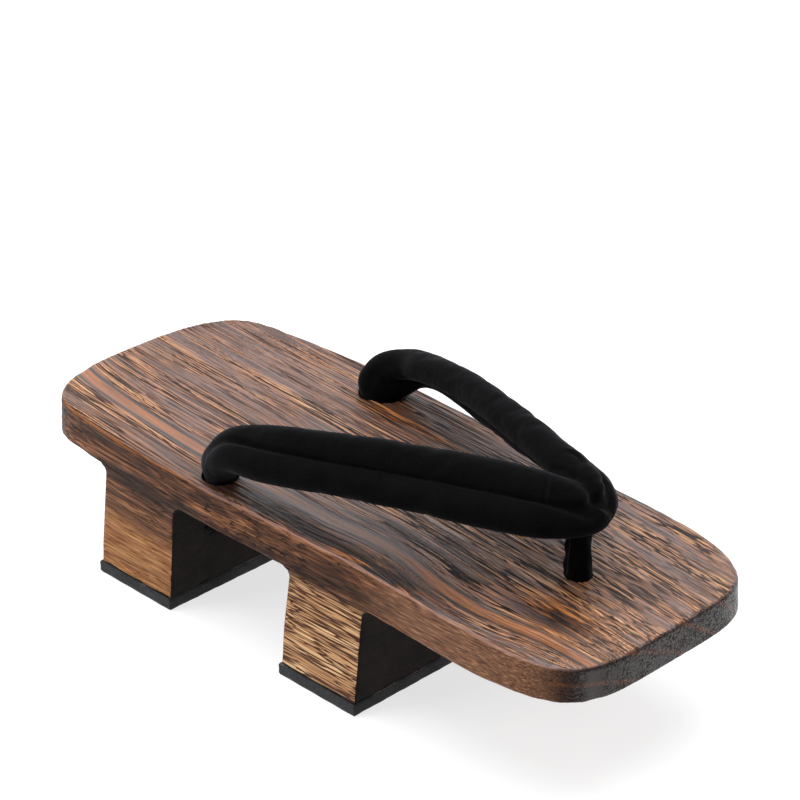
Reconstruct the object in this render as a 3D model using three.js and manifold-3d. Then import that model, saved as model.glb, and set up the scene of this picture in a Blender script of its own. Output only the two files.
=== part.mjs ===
// A geta: a wooden block with two raked teeth, a rubber ground pad under each tooth, a padded strap
// that divides over the foot, the thong that ties its tip down between the toes, and the knots that
// hold the three cord ends under the wood.
//
// Millimetres. +X points to the toe, +Y to the wearer's left and +Z up. The origin lies on the ground
// under the middle of the block. The sandal is the same on both sides of the plane y = 0.

import * as THREE from 'three';
import { mergeVertices } from 'three/addons/utils/BufferGeometryUtils.js';
import Module from 'manifold-3d';

const wasm = await Module();
wasm.setup();

// ---------------------------------------------------------------- driving dimensions

const LENGTH = 270;
const PAD_HEIGHT = 4.8;
const PAD_PROUD = 0.4;
const GAP = 0.3;
const TOP_EDGE_RADIUS = 1.8;
const SIDE_FLARE = 0.6;
const FOOT_EDGE_RADIUS = 0.8;
const FOOT_HALF_WIDTH = 51.8;
const ROOT_HALF_WIDTH = 54.6;
const TOOTH_FILLET = 3.5;

const THONG_X = 93.6;
const THONG_RADIUS = 4.5;
const THONG_TOP = 80;
const KNOT_DROP = 1.6;

// The block along its length: half its width before the corners are rounded, and the heights of its
// top and of the platform's underside.
const BLOCK = [
  { x: -135, half: 46.8, top: 62.5, under: 47.0 },
  { x: -90, half: 52.3, top: 61.6, under: 47.6 },
  { x: -45, half: 54.2, top: 61.3, under: 47.3 },
  { x: 0, half: 52.7, top: 61.1, under: 46.3 },
  { x: 45, half: 51.5, top: 60.5, under: 45.1 },
  { x: 90, half: 52.1, top: 58.8, under: 43.9 },
  { x: 135, half: 49.6, top: 55.6, under: 43.2 },
];

// How far each end's rounding reaches along the block, and how square its curve is.
const HEEL_END = { reach: 25.7, power: 2.84 };
const TOE_END = { reach: 60, power: 4.73 };

// The teeth: where each one's back and front faces meet the pad and the platform's underside.
const REAR_TOOTH = {
  name: 'rear', footBack: -95.6, footFront: -57.0, rootBack: -89.1, rootFront: -49.7,
};
const FRONT_TOOTH = {
  name: 'front', footBack: 2.4, footFront: 39.4, rootBack: 8.9, rootFront: 43.9,
};

// Where the platform's underside bends, behind, between and ahead of the teeth.
const UNDERSIDE_BENDS = { behind: [-110], between: [-20], ahead: [62, 80, 105] };

// The strap's two rolls on the right side, from the rear hole to the tip: centre and radius.
const OUTER_ROLL = [
  { x: -38.9, y: -41.6, z: 46.0, r: 4.2 },
  { x: -38.6, y: -41.9, z: 56.0, r: 4.8 },
  { x: -37.5, y: -42.5, z: 63.6, r: 6.8 },
  { x: -33.0, y: -45.2, z: 69.0, r: 6.7 },
  { x: -25.0, y: -47.4, z: 74.1, r: 6.5 },
  { x: -13.2, y: -45.9, z: 76.0, r: 6.3 },
  { x: 9.0, y: -39.5, z: 77.8, r: 6.3 },
  { x: 40.6, y: -29.2, z: 80.1, r: 6.4 },
  { x: 71.0, y: -20.2, z: 81.9, r: 6.5 },
  { x: 88.3, y: -13.7, z: 83.0, r: 6.5 },
  { x: 95.6, y: -7.0, z: 83.3, r: 6.5 },
  { x: 98.0, y: 0.0, z: 83.0, r: 6.5 },
];
const INNER_ROLL = [
  { x: -40.9, y: -40.5, z: 46.0, r: 4.2 },
  { x: -41.2, y: -40.3, z: 56.0, r: 4.8 },
  { x: -41.8, y: -40.0, z: 63.8, r: 6.8 },
  { x: -38.4, y: -41.2, z: 70.0, r: 6.6 },
  { x: -28.8, y: -43.2, z: 76.6, r: 6.3 },
  { x: -16.6, y: -40.0, z: 81.0, r: 6.2 },
  { x: 8.5, y: -33.2, z: 85.5, r: 6.2 },
  { x: 38.2, y: -23.2, z: 88.4, r: 6.4 },
  { x: 69.4, y: -12.8, z: 89.8, r: 6.6 },
  { x: 83.9, y: -8.3, z: 89.8, r: 6.6 },
  { x: 92.0, y: -5.1, z: 87.2, r: 6.0 },
  { x: 96.5, y: -3.6, z: 84.5, r: 3.5 },
];

// The knots under the wood, each with its top KNOT_DROP below it.
const KNOTS = [
  { name: 'rear_knot_right', x: -39.9, y: -41.2, radius: 8.0, height: 9.5 },
  { name: 'rear_knot_left', x: -39.9, y: 41.2, radius: 8.0, height: 9.5 },
  { name: 'front_knot', x: THONG_X, y: 0, radius: 7.0, height: 8.5 },
];

// How finely the curved pieces are cut into faces.
const OUTLINE_STEPS = 52;
const EDGE_STEPS = 3;
const FILLET_STEPS = 5;
const ROLL_SIDES = 16;
const ROLL_STEP = 4.5;
const KNOT_STEPS = 10;
const THONG_SIDES = 20;

// ---------------------------------------------------------------- the block's outline and heights

// The value of one column of BLOCK at x, on a smooth curve through its rows.
function blockAt(column, x) {
  const last = BLOCK.length - 1;
  const spacing = (BLOCK[last].x - BLOCK[0].x) / last;
  const place = THREE.MathUtils.clamp((x - BLOCK[0].x) / spacing, 0, last);
  const row = Math.min(Math.floor(place), last - 1);
  const slope = (i) => {
    const before = Math.max(i - 1, 0);
    const after = Math.min(i + 1, last);
    return (BLOCK[after][column] - BLOCK[before][column]) / (after - before);
  };
  const t = place - row;
  const rise = BLOCK[row + 1][column] - BLOCK[row][column];
  const bendA = slope(row) - rise;
  const bendB = rise - slope(row + 1);
  return BLOCK[row][column] + t * rise + t * (1 - t) * ((1 - t) * bendA + t * bendB);
}

const topAt = (x) => blockAt('top', x);
const underAt = (x) => blockAt('under', x);

// The factor by which one end's rounding narrows the outline, a distance past where it starts.
function endFactor(end, past) {
  const share = THREE.MathUtils.clamp(past / end.reach, 0, 1);
  return (1 - share ** end.power) ** (1 / end.power);
}

function halfWidthAt(x) {
  const pastHeel = -LENGTH / 2 + HEEL_END.reach - x;
  const pastToe = x - (LENGTH / 2 - TOE_END.reach);
  return blockAt('half', x) * endFactor(HEEL_END, pastHeel) * endFactor(TOE_END, pastToe);
}

// The outline seen from above, moved outwards by an offset: from the toe's tip along the left side to
// the heel's tip, and back along the right side.
function outline(offset) {
  const left = [];
  for (let i = 0; i <= OUTLINE_STEPS; i += 1) {
    const x = (LENGTH / 2) * Math.cos((Math.PI * i) / OUTLINE_STEPS);
    const y = i === 0 || i === OUTLINE_STEPS ? 0 : halfWidthAt(x);
    left.push(new THREE.Vector2(x, y));
  }
  const moved = left.map((point, i) => {
    const before = i === 0 ? new THREE.Vector2(left[1].x, -left[1].y) : left[i - 1];
    const after = i === OUTLINE_STEPS
      ? new THREE.Vector2(left[i - 1].x, -left[i - 1].y)
      : left[i + 1];
    const along = after.clone().sub(before).normalize();
    return new THREE.Vector2(point.x + offset * along.y, point.y - offset * along.x);
  });
  const right = moved.slice(1, -1).reverse().map((point) => new THREE.Vector2(point.x, -point.y));
  return [...moved, ...right];
}

// ---------------------------------------------------------------- general shape makers

function geometryFrom(points, triangles) {
  const geometry = new THREE.BufferGeometry();
  geometry.setAttribute('position', new THREE.Float32BufferAttribute(points.flat(), 3));
  geometry.setIndex(triangles.flat());
  return geometry;
}

// A body in the block's outline, built from levels. Each level has an outward offset and a height that
// may change along x. The ends are closed by strips that run straight across.
function outlineBody(levels) {
  const rings = levels.map(({ offset, height }) => (
    outline(offset).map((point) => [point.x, point.y, height(point.x)])
  ));
  const count = rings[0].length;
  const top = (rings.length - 1) * count;
  const triangles = [];
  for (let level = 0; level + 1 < rings.length; level += 1) {
    const low = level * count;
    for (let i = 0; i < count; i += 1) {
      const next = (i + 1) % count;
      triangles.push([low + i, low + next, low + count + next]);
      triangles.push([low + i, low + count + next, low + count + i]);
    }
  }
  for (let i = 0; i < count / 2; i += 1) {
    const right = (count - i) % count;
    const nextRight = count - i - 1;
    if (i > 0) {
      triangles.push([top + i, top + i + 1, top + right], [i + 1, i, right]);
    }
    if (i + 1 < count / 2) {
      triangles.push([top + right, top + i + 1, top + nextRight], [i + 1, right, nextRight]);
    }
  }
  return geometryFrom(rings.flat(), triangles);
}

// A side view's corners with those that have a radius turned into arcs.
function roundCorners(corners) {
  const points = [];
  corners.forEach((corner, i) => {
    const here = new THREE.Vector2(corner.x, corner.z);
    if (!corner.radius) {
      points.push(here);
      return;
    }
    const before = corners[(i + corners.length - 1) % corners.length];
    const after = corners[(i + 1) % corners.length];
    const back = new THREE.Vector2(before.x, before.z).sub(here).normalize();
    const ahead = new THREE.Vector2(after.x, after.z).sub(here).normalize();
    const halfAngle = Math.acos(back.dot(ahead)) / 2;
    const bisector = back.clone().add(ahead).normalize();
    const centre = here.clone().addScaledVector(bisector, corner.radius / Math.sin(halfAngle));
    const start = here.clone().addScaledVector(back, corner.radius / Math.tan(halfAngle)).sub(centre);
    const end = here.clone().addScaledVector(ahead, corner.radius / Math.tan(halfAngle)).sub(centre);
    const turn = Math.atan2(start.cross(end), start.dot(end));
    for (let step = 0; step <= FILLET_STEPS; step += 1) {
      const angle = (turn * step) / FILLET_STEPS;
      points.push(start.clone().rotateAround(new THREE.Vector2(), angle).add(centre));
    }
  });
  return points;
}

// A side view carried straight across the sandal, wider than it on both sides.
function acrossBody(corners) {
  const shape = new THREE.Shape(roundCorners(corners));
  const geometry = new THREE.ExtrudeGeometry(shape, { depth: LENGTH, bevelEnabled: false });
  geometry.rotateX(Math.PI / 2);
  geometry.translate(0, LENGTH / 2, 0);
  return geometry;
}

// The same carried along the sandal: a view from the front, longer than it at both ends.
function alongBody(corners) {
  const geometry = acrossBody(corners);
  geometry.scale(1, 2, 1);
  geometry.rotateZ(Math.PI / 2);
  return geometry;
}

// A round roll through a table's rows, thickened by a clearance.
function rollBody(rows, clearance) {
  const curve = new THREE.CatmullRomCurve3(rows.map((row) => new THREE.Vector3(row.x, row.y, row.z)));
  const steps = Math.round(curve.getLength() / ROLL_STEP);
  const frames = curve.computeFrenetFrames(steps, false);
  const points = [];
  const triangles = [];
  for (let step = 0; step <= steps; step += 1) {
    const u = step / steps;
    const centre = curve.getPointAt(u);
    const place = curve.getUtoTmapping(u) * (rows.length - 1);
    const row = Math.min(Math.floor(place), rows.length - 2);
    const radius = THREE.MathUtils.lerp(rows[row].r, rows[row + 1].r, place - row) + clearance;
    for (let side = 0; side < ROLL_SIDES; side += 1) {
      const angle = (2 * Math.PI * side) / ROLL_SIDES;
      const point = centre.clone()
        .addScaledVector(frames.normals[step], radius * Math.cos(angle))
        .addScaledVector(frames.binormals[step], radius * Math.sin(angle));
      points.push(point.toArray());
    }
  }
  for (let step = 0; step < steps; step += 1) {
    for (let side = 0; side < ROLL_SIDES; side += 1) {
      const a = step * ROLL_SIDES + side;
      const b = step * ROLL_SIDES + ((side + 1) % ROLL_SIDES);
      triangles.push([a, b, b + ROLL_SIDES], [a, b + ROLL_SIDES, a + ROLL_SIDES]);
    }
  }
  const end = steps * ROLL_SIDES;
  for (let side = 1; side + 1 < ROLL_SIDES; side += 1) {
    triangles.push([0, side + 1, side], [end, end + side, end + side + 1]);
  }
  return geometryFrom(points, triangles);
}

function solidOf(geometry) {
  const bare = geometry.clone();
  bare.deleteAttribute('normal');
  bare.deleteAttribute('uv');
  const merged = mergeVertices(bare);
  return new wasm.Manifold(new wasm.Mesh({
    numProp: 3,
    vertProperties: new Float32Array(merged.attributes.position.array),
    triVerts: new Uint32Array(merged.index.array),
  }));
}

function geometryOf(solid) {
  const { vertProperties, triVerts } = solid.getMesh();
  const geometry = new THREE.BufferGeometry();
  geometry.setAttribute('position', new THREE.BufferAttribute(vertProperties, 3));
  geometry.setIndex(new THREE.BufferAttribute(triVerts, 1));
  geometry.computeVertexNormals();
  return geometry;
}

// ---------------------------------------------------------------- the pieces

const mirrored = (rows) => rows.map((row) => ({ ...row, y: -row.y }));

// Both sides and the tip of the strap. The outer roll runs in one length round the tip, and the inner
// rolls meet behind it and end inside it.
function strapSolid(clearance) {
  const outer = [...OUTER_ROLL, ...mirrored(OUTER_ROLL).slice(0, -1).reverse()];
  return solidOf(rollBody(outer, clearance))
    .add(solidOf(rollBody(INNER_ROLL, clearance)))
    .add(solidOf(rollBody(mirrored(INNER_ROLL), clearance)));
}

function thongSolid(clearance, top) {
  const bottom = underAt(THONG_X) - KNOT_DROP + GAP;
  const radius = THONG_RADIUS + clearance;
  const thong = new THREE.CylinderGeometry(radius, radius, top - bottom, THONG_SIDES);
  thong.rotateX(Math.PI / 2);
  thong.translate(THONG_X, 0, (top + bottom) / 2);
  return solidOf(thong);
}

// The block's sides flare a little towards the underside and stand upright below it. Its top edge is
// rounded all round, by rings that draw in as they rise.
function blockWithRoundedTop() {
  const levels = [
    { offset: SIDE_FLARE, height: () => -PAD_HEIGHT },
    { offset: SIDE_FLARE, height: underAt },
  ];
  for (let step = 0; step <= EDGE_STEPS; step += 1) {
    const angle = (Math.PI / 2) * (step / EDGE_STEPS);
    levels.push({
      offset: -TOP_EDGE_RADIUS * (1 - Math.cos(angle)),
      height: (x) => topAt(x) - TOP_EDGE_RADIUS * (1 - Math.sin(angle)),
    });
  }
  return solidOf(outlineBody(levels));
}

// The block from the side: the underside, with both teeth standing down from it, and open space above.
function blockSideView() {
  const foot = PAD_HEIGHT + GAP;
  const beyond = LENGTH / 2 + 1;
  const above = 2 * topAt(0);
  const underside = (places) => places.map((x) => ({ x, z: underAt(x) }));
  const around = (tooth) => [
    { x: tooth.rootBack, z: underAt(tooth.rootBack), radius: TOOTH_FILLET },
    { x: tooth.footBack, z: foot, radius: FOOT_EDGE_RADIUS },
    { x: tooth.footFront, z: foot, radius: FOOT_EDGE_RADIUS },
    { x: tooth.rootFront, z: underAt(tooth.rootFront), radius: TOOTH_FILLET },
  ];
  const corners = [
    ...underside([-beyond, ...UNDERSIDE_BENDS.behind]),
    ...around(REAR_TOOTH),
    ...underside(UNDERSIDE_BENDS.between),
    ...around(FRONT_TOOTH),
    ...underside([...UNDERSIDE_BENDS.ahead, beyond]),
    { x: beyond, z: above },
    { x: -beyond, z: above },
  ];
  return solidOf(acrossBody(corners));
}

// The teeth from the front: they taper from the platform's width to a narrower foot.
function teethFrontView(proud) {
  const foot = FOOT_HALF_WIDTH + proud;
  const root = ROOT_HALF_WIDTH + proud;
  const beyond = LENGTH / 2;
  const above = 2 * topAt(0);
  return solidOf(alongBody([
    { x: -foot, z: -PAD_HEIGHT },
    { x: foot, z: -PAD_HEIGHT },
    { x: foot, z: 0 },
    { x: root, z: underAt(0) },
    { x: beyond, z: underAt(0) },
    { x: beyond, z: above },
    { x: -beyond, z: above },
    { x: -beyond, z: underAt(0) },
    { x: -root, z: underAt(0) },
    { x: -foot, z: 0 },
  ]));
}

function dai() {
  return blockWithRoundedTop()
    .intersect(blockSideView())
    .intersect(teethFrontView(0))
    .subtract(strapSolid(GAP))
    .subtract(thongSolid(GAP, THONG_TOP));
}

// A pad stands a little proud of its tooth all round and follows the outline at the sides.
function pad(tooth) {
  const slab = outlineBody([
    { offset: SIDE_FLARE + PAD_PROUD, height: () => 0 },
    { offset: SIDE_FLARE + PAD_PROUD, height: () => PAD_HEIGHT },
  ]);
  const back = tooth.footBack - PAD_PROUD;
  const front = tooth.footFront + PAD_PROUD;
  const sideView = acrossBody([
    { x: back, z: -PAD_HEIGHT },
    { x: front, z: -PAD_HEIGHT },
    { x: front, z: 2 * PAD_HEIGHT },
    { x: back, z: 2 * PAD_HEIGHT },
  ]);
  return solidOf(slab).intersect(solidOf(sideView)).intersect(teethFrontView(PAD_PROUD));
}

// A knot drawn up against the wood: a round bead, flatter at its top and bottom.
function knot({ x, y, radius, height }) {
  const profile = [];
  for (let step = 0; step <= KNOT_STEPS; step += 1) {
    const angle = Math.PI * (step / KNOT_STEPS - 0.5);
    const reach = step % KNOT_STEPS === 0 ? 0 : radius * Math.sqrt(Math.cos(angle));
    profile.push(new THREE.Vector2(reach, (height / 2) * Math.sin(angle)));
  }
  const bead = new THREE.LatheGeometry(profile, 2 * KNOT_STEPS);
  bead.rotateX(Math.PI / 2);
  bead.translate(x, y, underAt(x) - KNOT_DROP - height / 2);
  return solidOf(bead);
}

// ---------------------------------------------------------------- finishes and the sandal

const FINISHES = {
  wood: { color: 0x4a3a34, roughness: 0.45, metalness: 0 },
  rubber: { color: 0x2c2d2f, roughness: 0.85, metalness: 0 },
  velvet: { color: 0x141518, roughness: 0.95, metalness: 0 },
  cord: { color: 0x1b1b1d, roughness: 0.9, metalness: 0 },
};

const sandal = new THREE.Group();

function addPiece(name, solid, finish) {
  const mesh = new THREE.Mesh(geometryOf(solid), new THREE.MeshStandardMaterial(FINISHES[finish]));
  mesh.name = name;
  sandal.add(mesh);
}

addPiece('dai', dai(), 'wood');
[REAR_TOOTH, FRONT_TOOTH].forEach((tooth) => addPiece(`${tooth.name}_pad`, pad(tooth), 'rubber'));
addPiece('strap', strapSolid(0), 'velvet');
addPiece('front_thong', thongSolid(0, THONG_TOP).subtract(strapSolid(GAP)), 'velvet');
KNOTS.forEach((row) => addPiece(row.name, knot(row), 'cord'));

export default sandal;
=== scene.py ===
"""A geta: the wooden block, its rubber ground pads, the padded velvet strap, the front thong and knots.

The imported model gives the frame. Every size below is in millimetres in that frame, with +X to the toe,
+Y to the wearer's left and +Z up, and is turned to metres when a mesh is made.
"""

import logging
import math
from dataclasses import dataclass, field
from enum import Enum
from typing import Any, Sequence

import bpy
import numpy as np
from mathutils import Matrix, Vector


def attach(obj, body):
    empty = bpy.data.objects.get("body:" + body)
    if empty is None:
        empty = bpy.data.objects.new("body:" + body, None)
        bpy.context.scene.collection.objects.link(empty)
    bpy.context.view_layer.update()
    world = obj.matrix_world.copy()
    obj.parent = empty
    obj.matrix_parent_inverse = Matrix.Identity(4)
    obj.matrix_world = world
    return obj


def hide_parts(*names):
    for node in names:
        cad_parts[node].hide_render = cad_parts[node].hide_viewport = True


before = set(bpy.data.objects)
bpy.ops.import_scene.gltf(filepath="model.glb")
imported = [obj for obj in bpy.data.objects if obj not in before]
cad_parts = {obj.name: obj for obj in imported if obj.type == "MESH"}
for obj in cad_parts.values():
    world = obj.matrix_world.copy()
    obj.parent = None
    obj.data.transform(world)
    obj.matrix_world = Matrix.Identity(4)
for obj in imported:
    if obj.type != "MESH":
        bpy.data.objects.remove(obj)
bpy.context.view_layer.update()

MM = 0.001
TINY = 1e-9
LOG = logging.getLogger("geta")
REAR_HOLE = (-39.9, -41.2)
HOLE_BOTTOM = 38.0
STRAP_CLEARANCE = 0.45
THONG_CLEARANCE = 0.7


# ---------------------------------------------------------------- shared small tools


def linear(hex_colour: str) -> tuple[float, float, float, float]:
    """Turns an sRGB hex colour into linear RGBA.

    Args:
        hex_colour: six hex digits, with or without a leading #.

    Returns:
        The linear colour with an alpha of 1.
    """
    digits = hex_colour.lstrip("#")
    parts = [int(digits[i : i + 2], 16) / 255 for i in (0, 2, 4)]
    made = [p / 12.92 if p <= 0.04045 else ((p + 0.055) / 1.055) ** 2.4 for p in parts]
    return (made[0], made[1], made[2], 1.0)


def add_node(tree: bpy.types.NodeTree, kind: str, inputs: dict[Any, Any] | None = None,
             stops: Sequence[tuple[float, Any]] = (), **settings: Any) -> bpy.types.Node:
    """Adds a node to a tree, with its settings, its values and its links.

    Args:
        tree: the shader or geometry tree.
        kind: the node's type name.
        inputs: socket name or number, to a value, a socket or a node whose first open output is linked.
        stops: rows of place and hex colour for a colour ramp, or of place and height for a curve.
        **settings: the node's own properties.

    Returns:
        The new node.
    """
    made = tree.nodes.new(kind)
    for name, value in settings.items():
        setattr(made, name, value)
    for key, value in (inputs or {}).items():
        open_sockets = [socket for socket in made.inputs if socket.enabled and socket.name == key]
        socket = open_sockets[0] if open_sockets else made.inputs[key]
        if isinstance(value, bpy.types.Node):
            value = next(output for output in value.outputs if output.enabled)
        if isinstance(value, bpy.types.NodeSocket):
            tree.links.new(value, socket)
        else:
            socket.default_value = value
    if stops and hasattr(made, "color_ramp"):
        elements = made.color_ramp.elements
        while len(elements) < len(stops):
            elements.new(0.5)
        for element, (place, colour) in zip(elements, stops):
            element.position = place
            element.color = linear(colour)
    elif stops:
        points = made.mapping.curves[0].points
        while len(points) < len(stops):
            points.new(0.5, 0.5)
        for point, place in zip(points, stops):
            point.location = place
        made.mapping.update()
    return made


def blank_material(name: str) -> tuple[bpy.types.Material, bpy.types.NodeTree, bpy.types.Node]:
    """Starts a material.

    Args:
        name: the material's name.

    Returns:
        The material, its empty tree and the node that gives places on the object.
    """
    made = bpy.data.materials.new(name)
    made.use_nodes = True
    made.node_tree.nodes.clear()
    return made, made.node_tree, add_node(made.node_tree, "ShaderNodeTexCoord")


def mesh_object(name: str, points: np.ndarray, faces: Sequence[Sequence[int]]) -> bpy.types.Object:
    """Makes an object at the origin from points in millimetres.

    Args:
        name: the object's name.
        points: an array of rows x, y, z.
        faces: each face's corners, counter-clockwise from outside.

    Returns:
        The new object, linked to the scene.
    """
    mesh = bpy.data.meshes.new(name)
    mesh.from_pydata((np.asarray(points, float) * MM).tolist(), [], [list(f) for f in faces])
    mesh.validate()
    made = bpy.data.objects.new(name, mesh)
    bpy.context.scene.collection.objects.link(made)
    return made


def settle_modifiers(obj: bpy.types.Object) -> bpy.types.Object:
    """Turns an object's modifiers into its plain mesh and removes them.

    Args:
        obj: the object.

    Returns:
        The object, with its new mesh.
    """
    graph = bpy.context.evaluated_depsgraph_get()
    graph.update()
    made = bpy.data.meshes.new_from_object(obj.evaluated_get(graph), depsgraph=graph)
    obj.modifiers.clear()
    old = obj.data
    obj.data = made
    bpy.data.meshes.remove(old)
    return obj


def combine(base: bpy.types.Object, tool: bpy.types.Object, operation: str) -> bpy.types.Object:
    """Cuts or joins two closed bodies and removes the tool.

    Args:
        base: the body that is kept.
        tool: the body it is combined with.
        operation: INTERSECT, UNION or DIFFERENCE.

    Returns:
        The base, with its new mesh.
    """
    cut = base.modifiers.new("combine", "BOOLEAN")
    cut.operation = operation
    cut.object = tool
    cut.solver = "MANIFOLD"
    settle_modifiers(base)
    bpy.data.objects.remove(tool)
    return base


def points_of(obj: bpy.types.Object) -> np.ndarray:
    """Reads an object's mesh points.

    Args:
        obj: the object.

    Returns:
        Rows of x, y and z in millimetres.
    """
    flat = np.empty(len(obj.data.vertices) * 3)
    obj.data.vertices.foreach_get("co", flat)
    return flat.reshape(-1, 3) / MM


def move_points(obj: bpy.types.Object, points: np.ndarray) -> None:
    """Writes an object's mesh points, given in millimetres."""
    obj.data.vertices.foreach_set("co", (points * MM).ravel())
    obj.data.update()


def normals_of(obj: bpy.types.Object) -> np.ndarray:
    """Reads the outward direction at each of an object's points.

    Args:
        obj: the object.

    Returns:
        Rows of x, y and z, each of length 1.
    """
    flat = np.empty(len(obj.data.vertices) * 3, np.float32)
    obj.data.vertex_normals.foreach_get("vector", flat)
    return flat.reshape(-1, 3)


def shade(obj: bpy.types.Object, sharp_degrees: float = 40.0) -> None:
    """Shades an object smooth, except across edges sharper than an angle in degrees."""
    obj.data.shade_smooth()
    obj.data.set_sharp_from_angle(angle=math.radians(sharp_degrees))


def smooth_path(rows: np.ndarray, step: float) -> np.ndarray:
    """Runs a smooth curve through a table's rows, even where they are unevenly spaced.

    Args:
        rows: an array with a row for each point, of x, y, z and any further columns.
        step: about how far apart the curve's points lie.

    Returns:
        The finer array, with the same columns.
    """
    ends = np.vstack([2 * rows[0] - rows[1], rows, 2 * rows[-1] - rows[-2]])
    gaps = np.linalg.norm(np.diff(ends[:, :3], axis=0), axis=1) ** 0.5
    made = []
    for i in range(1, len(ends) - 2):
        before, here, after, beyond = ends[i - 1 : i + 3]
        gap_a, gap_b, gap_c = gaps[i - 1 : i + 2]
        leaving = (here - before) / gap_a - (after - before) / (gap_a + gap_b) + (after - here) / gap_b
        arriving = (after - here) / gap_b - (beyond - here) / (gap_b + gap_c) + (beyond - after) / gap_c
        count = max(2, round(np.linalg.norm(after[:3] - here[:3]) / step))
        for t in np.arange(count) / count:
            made.append((2 * t**3 - 3 * t**2 + 1) * here + (t**3 - 2 * t**2 + t) * gap_b * leaving
                        + (3 * t**2 - 2 * t**3) * after + (t**3 - t**2) * gap_b * arriving)
    made.append(rows[-1])
    return np.array(made)


def tube_rings(path: np.ndarray, radii: np.ndarray, sides: int) -> np.ndarray:
    """Places a ring of points round each point of a path, turning as little as it can.

    Args:
        path: rows of x, y, z.
        radii: the radius at each row.
        sides: points in each ring.

    Returns:
        An array of rings, each of rows x, y, z.
    """
    along = np.gradient(path, axis=0)
    along /= np.linalg.norm(along, axis=1)[:, None]
    first = np.cross(along[0], (0.0, 1.0, 0.0))
    across = first / np.linalg.norm(first)
    angles = 2 * math.pi * np.arange(sides) / sides
    rings = []
    for centre, direction, radius in zip(path, along, radii):
        across = across - direction * across.dot(direction)
        across /= np.linalg.norm(across)
        other = np.cross(direction, across)
        spread = np.outer(np.cos(angles), across) + np.outer(np.sin(angles), other)
        rings.append(centre + radius * spread)
    return np.array(rings)


def ring_faces(count: int, sides: int) -> list[list[int]]:
    """Joins rings of points into a tube with closed ends.

    Args:
        count: how many rings there are.
        sides: points in each ring.

    Returns:
        The tube's faces.
    """
    faces = []
    for low in range(0, (count - 1) * sides, sides):
        for side in range(sides):
            after = (side + 1) % sides
            faces.append([low + side, low + after, low + sides + after, low + sides + side])
    faces.append(list(range(sides))[::-1])
    faces.append([(count - 1) * sides + side for side in range(sides)])
    return faces


def skin(lattice: np.ndarray) -> tuple[np.ndarray, list[list[int]]]:
    """Takes the closed outer surface of a block of points.

    Args:
        lattice: points by level upwards, by place along and by place across.

    Returns:
        The surface's points and its faces.
    """
    outer = np.ones(lattice.shape[:3], bool)
    outer[1:-1, 1:-1, 1:-1] = False
    ids = np.full(outer.shape, -1)
    ids[outer] = np.arange(outer.sum())
    sheets = [(ids[0], True), (ids[-1], False), (ids[:, 0], False), (ids[:, -1], True),
              (ids[:, :, 0], True), (ids[:, :, -1], False)]
    faces = []
    for sheet, turned in sheets:
        corners = (sheet[:-1, :-1], sheet[1:, :-1], sheet[1:, 1:], sheet[:-1, 1:])
        quads = np.stack(corners, -1).reshape(-1, 4)
        faces.extend((quads[:, ::-1] if turned else quads).tolist())
    return lattice[outer], faces


def resample(line: np.ndarray, count: int) -> np.ndarray:
    """Spaces a line's points evenly along it.

    Args:
        line: rows of x and y.
        count: how many points the new line has.

    Returns:
        The new rows.
    """
    lengths = np.concatenate([[0.0], np.cumsum(np.linalg.norm(np.diff(line, axis=0), axis=1))])
    places = np.linspace(0, lengths[-1], count)
    return np.stack([np.interp(places, lengths, line[:, k]) for k in range(line.shape[1])], -1)


def run_nodes(obj: bpy.types.Object, tree: bpy.types.NodeTree, **sizes: Any) -> bpy.types.Object:
    """Runs a geometry tree on an object and keeps the result as its plain mesh.

    Args:
        obj: the object.
        tree: the geometry tree.
        **sizes: the tree's named inputs.

    Returns:
        The object.
    """
    steps = obj.modifiers.new(tree.name, "NODES")
    steps.node_group = tree
    for socket in tree.interface.items_tree:
        if socket.item_type == "SOCKET" and socket.in_out == "INPUT" and socket.name in sizes:
            steps[socket.identifier] = sizes[socket.name]
    return settle_modifiers(obj)


def geometry_tree(name: str, inputs: dict[str, str]) -> tuple[bpy.types.NodeTree, bpy.types.Node]:
    """Starts a geometry tree that takes geometry in and gives it out.

    Args:
        name: the tree's name.
        inputs: each further input's name, to its socket type.

    Returns:
        The tree and its input node.
    """
    tree = bpy.data.node_groups.new(name, "GeometryNodeTree")
    tree.interface.new_socket("Geometry", in_out="INPUT", socket_type="NodeSocketGeometry")
    for label, kind in inputs.items():
        tree.interface.new_socket(label, in_out="INPUT", socket_type=kind)
    tree.interface.new_socket("Geometry", in_out="OUTPUT", socket_type="NodeSocketGeometry")
    return tree, add_node(tree, "NodeGroupInput")


# ---------------------------------------------------------------- the wood's figure


@dataclass(frozen=True)
class GrainLayer:
    """One noise of the grain: its name, its lumps' lengths in millimetres, and its finer layers."""

    name: str
    lengths: tuple[float, float, float]
    detail: float
    roughness: float = 0.5


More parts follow.
